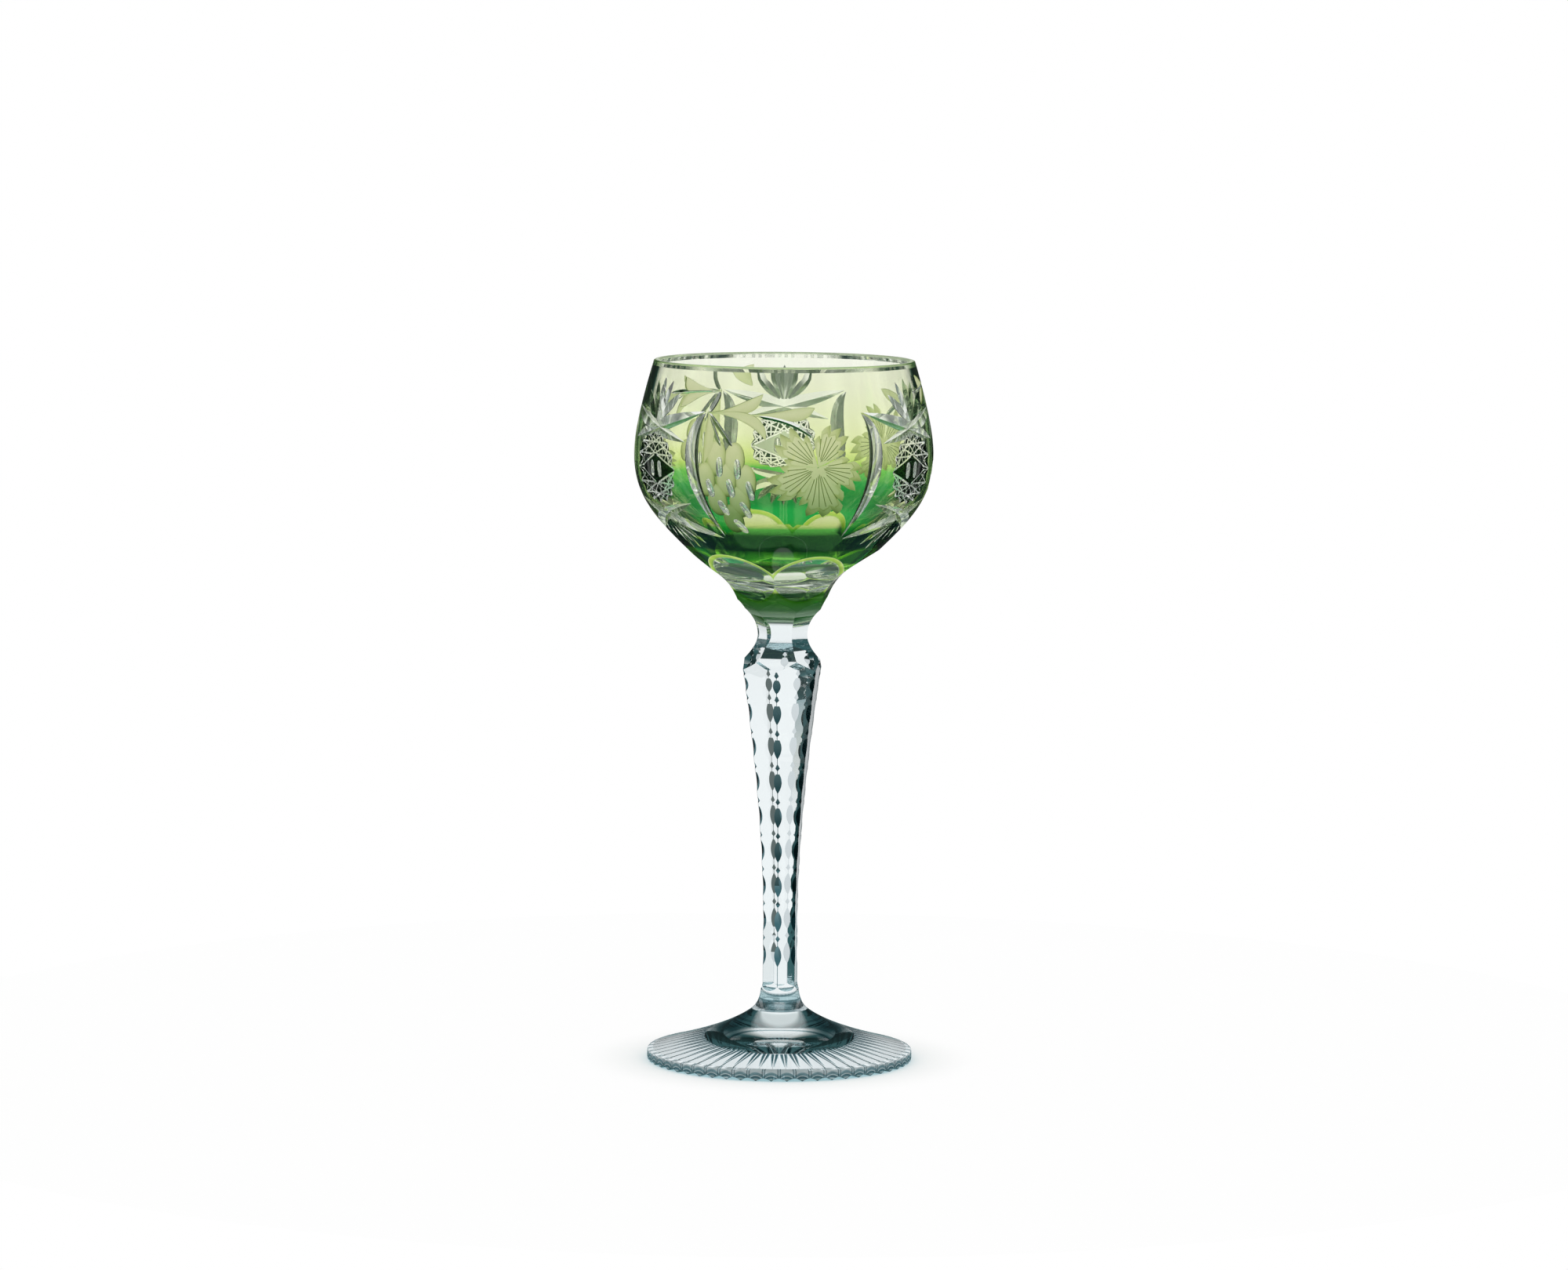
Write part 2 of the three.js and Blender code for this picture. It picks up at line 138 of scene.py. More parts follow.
def bowl_outline():
    """Radius and height of the blown outside, from the joint with the stem up to the rim."""
    flank, belly = (FLANK_RADIUS, FLANK_Z), (BELLY_RADIUS, BELLY_Z)
    under_flank = (FLANK_RADIUS - PAD_PULL * FLANK_SLOPE, FLANK_Z - PAD_PULL)
    over_flank = (FLANK_RADIUS + FLANK_PULL * FLANK_SLOPE, FLANK_Z + FLANK_PULL)
    pad = bezier([(PAD_RADIUS, BOWL_JOINT), under_flank, flank], 14)
    side = bezier([flank, over_flank, (BELLY_RADIUS, BELLY_Z - FLANK_PULL), belly], 34)
    top = bezier([belly, (BELLY_RADIUS, BELLY_Z + SHOULDER_PULL), (RIM_RADIUS, RIM)], 26)
    return np.vstack([pad, side[1:], top[1:]])


OUTLINE = bowl_outline()
SLOPE = np.gradient(OUTLINE[:, 0], OUTLINE[:, 1])


def radius_at(z):
    return np.interp(z, OUTLINE[:, 1], OUTLINE[:, 0])


def slope_at(z):
    return np.interp(z, OUTLINE[:, 1], SLOPE)


def moved_in(wall, low, high):
    """The outline between two heights, moved inwards by a wall that varies with height."""
    z = OUTLINE[:, 1]
    normal = np.column_stack([np.ones_like(z), -SLOPE]) / np.hypot(1, SLOPE)[:, None]
    moved = OUTLINE - normal * wall(z)[:, None]
    return moved[(moved[:, 1] > low) & (moved[:, 1] < high)]


def skin(z):
    return np.interp(z, [SKIN_END, RIM], [SKIN_AT_BASE, SKIN_AT_RIM])


def wall(z):
    return np.interp(z, [SKIN_END, BELLY_Z, RIM], [BASE_WALL, BELLY_WALL, RIM_WALL])


# Places on the bowl

def on_bowl(azimuth, z):
    """Points on the blown outside and the outward normals there."""
    turn = np.radians(azimuth)
    outwards = np.column_stack([np.sin(turn), -np.cos(turn), np.zeros_like(turn)])
    slope = slope_at(z)
    normal = outwards - np.column_stack([np.zeros_like(z), np.zeros_like(z), slope])
    normal /= np.hypot(1, slope)[:, None]
    point = outwards * radius_at(z)[:, None]
    point[:, 2] = z
    return point, normal


def around(centre, places):
    """Azimuth and height of places given in millimetres across and up from a centre on the bowl."""
    across, up = np.transpose(places)
    z = centre[1] + up / np.hypot(1, slope_at(centre[1] + up))
    return np.column_stack([centre[0] + np.degrees(across / radius_at(z)), z])


# Solids

def solid(name, points, faces, slots, shades=0.0):
    """A closed mesh from points in millimetres, with its faces turned outwards. The painted shades of its
    points (0 is clear, more is darker) are kept at the corners of the faces, where they last through a cut."""
    mesh = bpy.data.meshes.new(name)
    mesh.from_pydata((np.asarray(points) * MM).tolist(), [], faces)
    mesh.polygons.foreach_set("material_index", np.broadcast_to(slots, len(faces)).astype(np.int32))
    shape = bmesh.new()
    shape.from_mesh(mesh)
    bmesh.ops.recalc_face_normals(shape, faces=shape.faces)
    shape.to_mesh(mesh)
    shape.free()
    corners = np.empty(len(mesh.loops), np.int32)
    mesh.loops.foreach_get("vertex_index", corners)
    values = np.broadcast_to(shades, len(points)).astype(np.float32)[corners]
    mesh.attributes.new(SHADE, "FLOAT", "CORNER").data.foreach_set("value", values)
    return bpy.data.objects.new(name, mesh)


def lathe(name, parts, sides):
    """A profile of radius and height turned about the axis, in parts that each give the slot of the faces
    starting at their points. The profile closes on itself or ends on the axis."""
    profile = np.vstack([points for points, _ in parts])
    slots = [slot for points, slot in parts for _ in points]
    angles = np.radians(np.arange(sides) * 360 / sides)
    points, rings = [], []
    for radius, z in profile:
        if radius < ON_AXIS:
            rings.append([len(points)] * sides)
            points.append((0, 0, z))
        else:
            rings.append(list(range(len(points), len(points) + sides)))
            points.extend(zip(radius * np.sin(angles), -radius * np.cos(angles), [z] * sides))
    closed = profile[0][0] > ON_AXIS
    faces, face_slots = [], []
    for index in range(len(rings) if closed else len(rings) - 1):
        low, high = rings[index], rings[(index + 1) % len(rings)]
        for side in range(sides):
            after = (side + 1) % sides
            faces.append(list(dict.fromkeys([low[side], low[after], high[after], high[side]])))
            face_slots.append(slots[index])
    return solid(name, points, faces, face_slots)


def swept(name, sections, slot, shades=0.0):
    """A closed solid through a row of sections, each with the same number of corners."""
    sections = np.asarray(sections)
    count, corners = sections.shape[:2]
    faces = [list(range(corners)), list(range((count - 1) * corners, count * corners))]
    for row in range(count - 1):
        for corner in range(corners):
            a = row * corners + corner
            b = row * corners + (corner + 1) % corners
            faces.append([a, b, b + corners, a + corners])
    shades = np.broadcast_to(shades, (count, corners)).ravel()
    return solid(name, sections.reshape(-1, 3), faces, slot, shades)


def standing(azimuth, places):
    """Points from distances outwards, sideways and up at an azimuth."""
    turn = math.radians(azimuth)
    axes = [(math.sin(turn), -math.cos(turn), 0), (math.cos(turn), math.sin(turn), 0), (0, 0, 1)]
    return np.asarray(places, float) @ np.array(axes)


def slab(azimuth, z, near, far, half):
    """A level rectangle that reaches outwards from near to far, and half a breadth to each side."""
    return standing(azimuth, [(near, -half, z), (near, half, z), (far, half, z), (far, -half, z)])


def ring_cutters(line, turn, slot):
    """All that lies outside one ring of flats, given the line of a flat in radius and height."""
    cutters = []
    for side in range(SIDE_COUNT):
        azimuth = turn + (side + 0.5) * 360 / SIDE_COUNT
        sections = [slab(azimuth, z, radius, BEYOND, BEYOND) for radius, z in line]
        cutters.append(swept("flat", sections, slot))
    return cutters


def carve(body, cutters, materials):
    """Cuts all the cutters out of a body. The faces of both keep their slots in the list of materials."""
    for shape in (body, *cutters):
        if len(shape.data.materials) == 0:
            for material in materials:
                shape.data.materials.append(material)
    group = bpy.data.collections.new("cutters")
    bpy.context.scene.collection.children.link(group)
    for cutter in cutters:
        group.objects.link(cutter)
    modifier = body.modifiers.new("cut", "BOOLEAN")
    modifier.operation = "DIFFERENCE"
    modifier.solver = "MANIFOLD"
    modifier.operand_type = "COLLECTION"
    modifier.collection = group
    bpy.context.scene.collection.objects.link(body)
    graph = bpy.context.evaluated_depsgraph_get()
    carved = bpy.data.meshes.new_from_object(body.evaluated_get(graph))
    body.modifiers.clear()
    body.data = carved
    bpy.data.collections.remove(group)
    return body


def finish_surface(piece, sharp_angle):
    """Smooth shading, broken at sharp edges and where two materials meet."""
    mesh = piece.data
    mesh.shade_smooth()
    mesh.set_sharp_from_angle(angle=math.radians(sharp_angle))
    shape = bmesh.new()
    shape.from_mesh(mesh)
    for edge in shape.edges:
        if len({face.material_index for face in edge.link_faces}) > 1:
            edge.smooth = False
    shape.to_mesh(mesh)
    shape.free()


# Sections of a cut: places across it, heights from its bottom (0) to the surface (1), and painted shades (0
# leaves the cut clear, more paints it darker)

def vee(*shades):
    return [(place, abs(place), shade) for place, shade in shades]


def hollow(shade_at):
    return [(place, place * place, shade_at(place)) for place in np.linspace(-1, 1, 13)]


LATTICE_SHADE = 5.5
LATTICE = [(-1, 1, LATTICE_SHADE), (-0.34, 0.1, LATTICE_SHADE), (-0.3, 0, 0), (0.3, 0, 0),
           (0.34, 0.1, LATTICE_SHADE), (1, 1, LATTICE_SHADE)]
PETAL = vee((-1, 0), (-0.9, 0.75), (-0.12, 0.95), (0, 0), (0.85, 0.25), (1, 0))
DEEP_PETAL = vee((-1, 0), (-0.86, 0), (-0.8, 2.4), (-0.12, 2.8), (0, 0.1), (0.6, 1.2), (0.82, 0), (1, 0))
MITRE = vee((-1, 0), (-0.92, 0.8), (-0.8, 0.1), (-0.1, 0.35), (0, 0), (0.5, 0.15), (1, 0))
MOON = vee((-1, 0), (-0.92, 0), (-0.88, 1.0), (-0.6, 0.3), (-0.12, 1.1), (0, 0), (0.3, 0.7), (0.36, 0),
           (0.86, 0.1), (0.9, 0.8), (1, 0))
OLIVE = hollow(lambda place: 0.9 * max(0, abs(place) - 0.72) / 0.28)
GLINT = hollow(lambda place: 2.4 * max(0, place) ** 2 + 1.6 * max(0, -place) ** 5)
VEIN = vee((-1, 0.65), (0, 0.75), (1, 0.65))

# Cuts of the wheel, whose sections carry painted shade; ends scale it from a cut's start to its end
UPPER_PETAL_CUT = {"half_width": 1.45, "depth": 1.0, "profile": PETAL, "skew": 1.25}
LOWER_PETAL_CUT = {"half_width": 1.25, "depth": 0.9, "profile": DEEP_PETAL, "skew": 1.25}
MITRE_CUT = {"half_width": 2.2, "depth": 1.4, "profile": MITRE}
CRESCENT_CUT = {"half_width": 2.5, "depth": 1.5, "profile": MOON, "ends": (0.3, 1.6)}
MAIN_CUT = {"half_width": 0.75, "depth": 0.85, "profile": LATTICE, "blunt": 6}
FINE_CUT = {"half_width": 0.65, "depth": 0.75, "profile": LATTICE, "blunt": 6}
RHOMBUS_CUT = {"half_width": 0.9, "depth": 1.1, "profile": LATTICE, "blunt": 12}
OLIVE_CUT = {"half_width": 1.5, "depth": 1.7, "profile": OLIVE, "blunt": 4}
VEIN_CUT = {"half_width": 0.3, "depth": 0.56, "profile": VEIN, "blunt": 24, "slot": MATTE}
GLINT_CUT = {"half_width": 1.25, "depth": 1.3, "profile": GLINT, "blunt": 3, "ends": (0.1, 1.1)}
STALK_CUT = {"half_width": 0.7, "depth": 0.55, "profile": PETAL, "blunt": 6}


def groove(path, half_width, depth, profile, slot=CUT, skew=1.0, blunt=2.0, hand=1, ends=(1, 1)):
    """A cut of the wheel along a path of azimuth and height that runs out at both ends. A skew over 1 moves
    the widest place on, a larger blunt keeps the depth longer, a hand of -1 swaps the sides of the section,
    and ends holds what the painted shade is multiplied by at the start and at the end."""
    path = np.asarray(path, float)
    point, normal = on_bowl(path[:, 0], path[:, 1])
    along = np.linspace(0, 1, len(path))
    side = np.cross(normal, np.gradient(point, axis=0)) * hand
    side /= np.linalg.norm(side, axis=1)[:, None]
    sink = (depth + TUCK) * (1 - np.abs(2 * along ** skew - 1) ** blunt) - TUCK
    gain = between(ends, along)
    across, level, shade = np.transpose(profile)
    left_slope = depth * (level[0] - level[1]) / (across[1] - across[0])
    right_slope = depth * (level[-1] - level[-2]) / (across[-1] - across[-2])
    top = depth + LIFT
    sections, shades = [], []
    for i in range(len(path)):
        height = depth * level - sink[i]
        left = across[0] - (top - height[0]) / left_slope
        right = across[-1] + (top - height[-1]) / right_slope
        x, y = np.r_[left, across, right], np.r_[top, height, top]
        sections.append(point[i] + side[i] * half_width * x[:, None] + normal[i] * y[:, None])
        shades.append(np.r_[shade[0], shade, shade[-1]] * gain[i])
    return swept("groove", sections, slot, shades)


def strip(path, left, right, floor, slot):
    """An engraved band along a path, with its width to the left and right at each point. The floor lists
    places from the left edge (-1) to the right edge (1), each with its depth and painted shade."""
    point, normal = on_bowl(path[:, 0], path[:, 1])
    side = np.cross(np.gradient(point, axis=0), normal)
    side /= np.linalg.norm(side, axis=1)[:, None]
    place, depth, shade = np.transpose(floor)
    sections = []
    for i in range(len(path)):
        reach = np.where(place < 0, left[i], right[i]) * place
        base = point[i] + side[i] * reach[:, None]
        low = base - normal[i] * depth[:, None]
        sections.append(np.vstack([base[:1] + normal[i] * LIFT, low, base[-1:] + normal[i] * LIFT]))
    return swept("strip", sections, slot, np.r_[shade[0], shade, shade[-1]])


def scoop(centre, outline, floor, slot, rings=5):
    """A shallow cut inside an outline of places in millimetres across and up from a centre on the bowl. The
    floor gives depth and painted shade for a share of the way out from the outline's middle, and a place."""
    outline = np.asarray(outline, float)
    turns = len(outline)
    middle = outline.mean(axis=0)
    points, shades = [], []
    for share in np.linspace(0, 1, rings + 1)[1:]:
        places = middle + (outline - middle) * share
        depth, shade = floor(share, *places.T)
        point, normal = on_bowl(*around(centre, places).T)
        points.append(point - normal * depth[:, None])
        shades.append(shade)
    points.append(point + normal * LIFT)
    shades.append(shade)
    point, normal = on_bowl(*around(centre, [middle]).T)
    depth, shade = floor(0.0, *middle[:, None])
    points = np.vstack([*points, point - normal * depth[:, None], point + normal * LIFT])
    shades = np.concatenate([*shades, shade, shade])
    low, high = len(points) - 2, len(points) - 1
    faces = []
    for turn in range(turns):
        after = (turn + 1) % turns
        faces.append([low, after, turn])
        faces.append([high, rings * turns + turn, rings * turns + after])
        for ring in range(rings):
            a, b = ring * turns + turn, ring * turns + after
            faces.append([a, b, b + turns, a + turns])
    return solid("scoop", points, faces, slot, shades)


def level_floor(depth, shade):
    return lambda share, x, y: (depth + 0 * x, shade + 0 * x)


# Medallion panels: azimuths count from the middle of a panel, and heights are rises
PANEL_COUNT = 3
FIRST_PANEL = 60.0
PETALS = (-2, -1, 0, 1, 2)
UPPER_FAN = {"rise": 57.2, "spread": 6.4, "reach": 14.2, "shorten": 0.08}
LOWER_FAN = {"rise": 31.3, "spread": 8.0, "reach": -10.6, "shorten": 0.05}
UPPER_MITRE = [(-19.5, 52.8), (27.5, 62.1)]
LOWER_MITRE = [(-20.5, 35.4), (30.5, 25.0)]
CRESCENT = [(28.0, 61.8), (15.7, 54.5), (31.4, 25.2)]
MEDALLION_RISE = 44.4
MEDALLION_SIZE = (10.6, 11.2)
FIELD_SIDES = 96
FIELD_SHARE = 0.86
# The field is painted in dark shade, and the rhombus in a lighter painted shade
FIELD = level_floor(0.55, LATTICE_SHADE)
STAR_POINTS = 16
STAR_CUTS = [(6, MAIN_CUT), (4, FINE_CUT)]
RHOMBUS_SIZE = (10.4, 4.6)
RHOMBUS = level_floor(0.95, 1.8)
OLIVE_OFFSET = 2.1
OLIVE_REACH = 3.1


def fan(centre, values, cut):
    """Petals that spread from one place, shorter towards the sides of the fan. The hand turns the painted
    dark wall of the petals on one side of the fan the other way.
    """
    start = BOWL_JOINT + values["rise"]
    cutters = []
    for place in PETALS:
        reach = values["reach"] * (1 - values["shorten"] * place * place)
        path = straight((centre, start), (centre + place * values["spread"], start + reach))
        hand = math.copysign(1, (place + 0.5) * values["reach"])
        cutters.append(groove(path, hand=hand, **cut))
    return cutters


def pair(centre, corners, count, cut, turned=1):
    """Two curved cuts that mirror each other about the middle of a panel."""
    cutters = []
    for hand in (-1, 1):
        path = bezier([(centre + hand * azimuth, BOWL_JOINT + rise) for azimuth, rise in corners], count)
        cutters.append(groove(path, hand=hand * turned, **cut))
    return cutters


def medallion(azimuth):
    """An oval field under a lattice of straight cuts from point to point of a star, and in its middle a
    rhombus with two olives. The field and the walls of the lattice carry painted dark shade, and the bottoms
    of the lattice cuts stay clear."""
    centre = (azimuth, BOWL_JOINT + MEDALLION_RISE)
    cutters = [scoop(centre, oval(FIELD_SIDES, MEDALLION_SIZE) * FIELD_SHARE, FIELD, CUT)]
    tips = around(centre, oval(STAR_POINTS, MEDALLION_SIZE))
    for step, cut in STAR_CUTS:
        cutters += [groove(straight(tips[index], tips[(index + step) % STAR_POINTS]), **cut)
                    for index in range(STAR_POINTS)]
    corners = np.array([(1, 0), (0, 1), (-1, 0), (0, -1)]) * RHOMBUS_SIZE
    cutters.append(scoop(centre, finer(corners, 8), RHOMBUS, CUT))
    ends = around(centre, corners)
    for start, end in zip(ends, np.roll(ends, -1, axis=0)):
        cutters.append(groove(straight(start, end), **RHOMBUS_CUT))
    for side in (-OLIVE_OFFSET, OLIVE_OFFSET):
        ends = around(centre, [(side, -OLIVE_REACH), (side, OLIVE_REACH)])
        cutters.append(groove(straight(*ends), **OLIVE_CUT))
    return cutters


# Vine panels, engraved in the skin: azimuths count from the middle of a panel, and heights from the floor
VINE_COUNT = 3
LEAF_CENTRE = (13.0, 178.7)
LOBES = [(62, 13.2), (142, 14.4), (212, 15.6), (281, 19.0), (347, 14.0)]

# Teeth of a leaf's lower layer; outlines have shares of the reach and turns in half teeth
TEETH = (-2, -1, 0, 1, 2)
TOOTH_SPREAD = 14.4
TOOTH_SHRINK = (0.02, 0.014)
TOOTH = [(0.35, 1.0), (0.83, 1.0), (0.93, 0.3), (1.02, -0.6), (0.86, -1.0), (0.35, -1.0)]
TOOTH_DEPTH = (0.12, 0.26)
TOOTH_LEAN = 1.4
TOOTH_STEP = (0.7, 0.9)
# Painted shade of a tooth: a little all over, more on the shallow side of its step, and more at its tip
TOOTH_SHADE = 0.1
TOOTH_STEP_SHADE = 0.5
TOOTH_TIP_SHADE = 0.1

# Upper layer of a lobe, with its depth in the middle and at the edge
PETAL_SHARE = 0.82
PETAL_START = [(0.02, -5.2)]
PETAL_TOOTH = [(0.9, -0.95), (1.02, -0.3), (0.95, 0.6)]
PETAL_END = [(0.02, 5.2)]
PETAL_DEPTH = (0.34, 0.3)
# Painted shade along the outline of the upper layer, none near the leaf's middle
PETAL_EDGE_SHADE = 0.8
PETAL_CLEAR = 0.3

# Veins, each a fine groove painted with dark shade
VEINS = (-2.5, -1.5, -0.6, 0.2, 1, 2)
VEIN_SPREAD = 10.5
VEIN_START = (1.0, 0.8)
VEIN_END = (0.78, 0.03)

# Grapes and the polished olive in each, with depth in the middle and at the edge
GRAPE_CENTRES = [(-26.1, 181.0), (-18.8, 180.5), (-30.9, 174.5), (-22.2, 174.7), (-14.4, 174.2),
                 (-26.8, 168.4), (-17.4, 168.1), (-21.5, 162.9)]
GRAPE_SIZE = (3.1, 5.2)
GRAPE_DEPTH = (0.42, 0.06)
# Painted shade of a grape: a little all over, more towards its edge where the grapes meet, and more on its
# lower right side
GRAPE_SHADE = 0.08
GRAPE_EDGE_SHADE = 0.6
GRAPE_LOW_SHADE = 0.3
GLINT_REACH = 3.3
GLINT_ACROSS = 0.7
GLINT_DROP = 2.5
GLINT_LEAN = (3, 1.6)

# Long leaves and stalks, which start at two nodes
NODE_A = (-31.3, 193.8)
NODE_B = (-27.0, 200.0)
BLADES = [
    {"path": [NODE_A, (-21.0, 194.5), (-8.7, 199.4)], "left": 0.4, "right": 3.0, "widest": 0.74},
    {"path": [NODE_A, (-6.0, 192.6), (12.2, 195.6)], "left": 0.9, "right": 2.7, "widest": 0.82},
    {"path": [NODE_A, (-12.0, 193.6), (-7.1, 186.4)], "left": 2.4, "right": 0.6, "widest": 0.62},
    {"path": [NODE_A, (-28.5, 187.0), (-31.8, 179.0)], "left": 1.6, "right": 1.4, "widest": 0.5},
    {"path": [NODE_B, (-38.0, 200.6), (-46.2, 203.4)], "left": 2.8, "right": 0.5, "widest": 0.76},
    {"path": [NODE_B, (-40.0, 199.0), (-46.0, 194.9)], "left": 1.0, "right": 1.9, "widest": 0.7},
]
# Floor of a long leaf from its left edge to its right: place, depth and painted shade, with a dark line
# along the left edge
BLADE_FLOOR = [(-1, 0.3, 0.9), (-0.9, 0.38, 0.12), (0.2, 0.3, 0.05), (0.8, 0.2, 0.2), (1, 0.12, 0.45)]
BLADE_TIP = 0.05
STALKS = [
    [NODE_A, (-28.0, 196.5), NODE_B],
    [NODE_A, (-27.5, 188.0), (-24.5, 184.0)],
    [NODE_A, (-25.0, 189.5), (-19.5, 184.0)],
    [NODE_B, (-38.0, 200.0), (-54.0, 198.6)],
    [(-12.0, 193.4), (4.0, 192.5), (11.5, 187.0)],
]


def tooth_share(tooth):
    """How far a tooth reaches: the outer teeth stay back, so that a notch shows between two lobes."""
    return 1 - TOOTH_SHRINK[0] * tooth ** 2 - TOOTH_SHRINK[1] * tooth ** 4


def toothed(reach, turn, corners):
    """Places on the leaf from shares of a reach, and turns in half teeth from a direction."""
    half = math.radians(TOOTH_SPREAD / 2)
    return [(reach * share * math.cos(turn + half * place), reach * share * math.sin(turn + half * place))
            for share, place in corners]


def leaf_tooth(centre, aim, reach):
    """One pointed tooth. Its floor leans to one side, so that a step shows where the next tooth starts, and
    painted shade darkens the shallow side of the step.
    """
    def floor(share, x, y):
        out = np.hypot(x, y) / reach
        sideways = np.clip(-x * math.sin(aim) + y * math.cos(aim), -TOOTH_LEAN, TOOTH_LEAN)
        lean = sideways / (2 * TOOTH_LEAN) * np.interp(out, TOOTH_STEP, (0, 1)) + 0.5
        shade = TOOTH_SHADE + TOOTH_STEP_SHADE * (1 - lean) ** 2 + TOOTH_TIP_SHADE * out ** 6
        return between(TOOTH_DEPTH, lean), shade

    return scoop(centre, finer(toothed(reach, aim, TOOTH), 2), floor, MATTE, rings=3)


def leaf_petal(centre, turn, reach):
    """The upper layer of one lobe: a toothed fan, out of step with the teeth of the lower layer."""
    corners = list(PETAL_START)
    for tooth in TEETH:
        corners += [(share * tooth_share(tooth), 2 * tooth + place) for share, place in PETAL_TOOTH]
    corners += PETAL_END

    def floor(share, x, y):
        depth = between(PETAL_DEPTH, share ** 3) + 0 * x
        return depth, PETAL_EDGE_SHADE * share ** 16 * np.clip(np.hypot(x, y) / reach - PETAL_CLEAR, 0, 1)

    return scoop(centre, finer(toothed(reach, turn, corners), 3), floor, MATTE, rings=9)


def leaf(centre):
    """A vine leaf: the teeth of each lobe, with a veined petal over them, all from the leaf's middle."""
    cutters = []
    for degrees, reach in LOBES:
        turn = math.radians(degrees)
        for tooth in TEETH:
            aim = turn + math.radians(tooth * TOOTH_SPREAD)
            cutters.append(leaf_tooth(centre, aim, reach * tooth_share(tooth)))
        cutters.append(leaf_petal(centre, turn, reach * PETAL_SHARE))
        for vein in VEINS:
            aim = turn + math.radians(vein * VEIN_SPREAD)
            near = VEIN_START[0] + VEIN_START[1] * abs(vein)
            far = reach * (VEIN_END[0] - VEIN_END[1] * vein ** 2)
            places = np.outer(np.linspace(near, far, 12), (math.cos(aim), math.sin(aim)))
            cutters.append(groove(around(centre, places), **VEIN_CUT))
    return cutters


def grape(centre):
    def floor(share, x, y):
        low = (x / GRAPE_SIZE[0] - y / GRAPE_SIZE[1]) * share
        shade = GRAPE_SHADE + GRAPE_EDGE_SHADE * share ** 6 + GRAPE_LOW_SHADE * low
        return between(GRAPE_DEPTH, share ** 2) + 0 * x, np.clip(shade, 0, 1)

    return scoop(centre, oval(48, GRAPE_SIZE), floor, MATTE, rings=7)


def glint(centre, lean):
    """The polished olive low down in each grape, with painted dark shade that grows along it and towards its
    sides, most on one side.
    """
    side, up = math.sin(math.radians(lean)), math.cos(math.radians(lean))
    middle = np.array([GLINT_ACROSS + side * GLINT_DROP * 0.5, -GLINT_DROP])
    span = np.array([side, -up]) * GLINT_REACH
    return groove(straight(*around(centre, [middle - span, middle + span]), 16), **GLINT_CUT)


def blade(azimuth, path, left, right, widest):
    """A long leaf on a curve, widest at a share of the way along it."""
    path = bezier([(azimuth + offset, z) for offset, z in path], 26)
    along = np.linspace(0, 1, len(path)) ** (math.log(0.5) / math.log(widest))
    swell = np.sin(math.pi * np.clip(along, 0, 1)) + BLADE_TIP
    return strip(path, left * swell, right * swell, BLADE_FLOOR, MATTE)


def vine(azimuth):
    """Leaf, grapes, blades and stalks of one panel. The glints lean more on the lower grapes."""
    cutters = leaf((azimuth + LEAF_CENTRE[0], LEAF_CENTRE[1]))
    highest_z = max(z for _, z in GRAPE_CENTRES)
    for offset, z in GRAPE_CENTRES:
        cutters.append(grape((azimuth + offset, z)))
        lean = GLINT_LEAN[0] + GLINT_LEAN[1] * (highest_z - z)
        cutters.append(glint((azimuth + offset, z), lean))
    cutters += [blade(azimuth, **values) for values in BLADES]
    for corners in STALKS:
        path = bezier([(azimuth + offset, z) for offset, z in corners], 18)
        cutters.append(groove(path, **STALK_CUT))
    return cutters


# Rings of six flats: a radius is the distance of a flat from the axis, a turn the azimuth of an edge
SIDE_COUNT = 6
EDGE_COSINE = math.cos(math.pi / SIDE_COUNT)
BASE_TURN = -8.0
NECK_TURN = -38.0
STEM_TURN = -8.0
BASE_LINE = [(10.4, -0.8), (14.35, 11.35), (14.35, 11.35), (33.2, 22.5)]
NECK_LINE_BELOW = [(13.6, -17.0), (6.35, -10.3), (6.35, -6.0)]
NECK_LINE_ABOVE = [(6.35, -6.0), (6.35, 0.6), (14.0, 4.8)]
SHOULDER_LINE = [(10.85, -15.4), (11.375, -11.9)]


def bowl_cutters():
    cutters = []
    for panel in range(PANEL_COUNT):
        centre = FIRST_PANEL + panel * 360 / PANEL_COUNT
        cutters += medallion(centre)
        cutters += fan(centre, UPPER_FAN, UPPER_PETAL_CUT)
        cutters += fan(centre, LOWER_FAN, LOWER_PETAL_CUT)
        cutters += pair(centre, UPPER_MITRE, 24, MITRE_CUT)
        cutters += pair(centre, LOWER_MITRE, 24, MITRE_CUT)
        cutters += pair(centre, CRESCENT, 30, CRESCENT_CUT, turned=-1)
    return cutters + ring_cutters(bezier(raised(BASE_LINE, BOWL_JOINT), 40), BASE_TURN, BASE)


def neck_cutters(slot):
    below = bezier(raised(NECK_LINE_BELOW, BOWL_JOINT), 20)
    above = bezier(raised(NECK_LINE_ABOVE, BOWL_JOINT), 20)
    return ring_cutters(np.vstack([below, above[1:]]), NECK_TURN, slot)


# Bowl

def rim_arc(start, end):
    """Part of the rounded rim, from one share of the wall's thickness to another, counted from outside."""
    turns = np.linspace(math.acos(1 - 2 * start), math.acos(1 - 2 * end), 14)
    radius = radius_at(RIM - RIM_ROUND) - RIM_WALL * (1 - np.cos(turns)) / 2
    return np.column_stack([radius, RIM - RIM_ROUND * (1 - np.sin(turns))])


def seat():
    """The face where the green skin is fused to the crystal, from its lower end to the rim."""
    low = radius_at(SKIN_END) - SKIN_AT_BASE * math.hypot(1, slope_at(SKIN_END))
    return np.vstack([[(low, SKIN_END)], moved_in(skin, SKIN_END + 0.5, RIM - 2 * RIM_ROUND)])


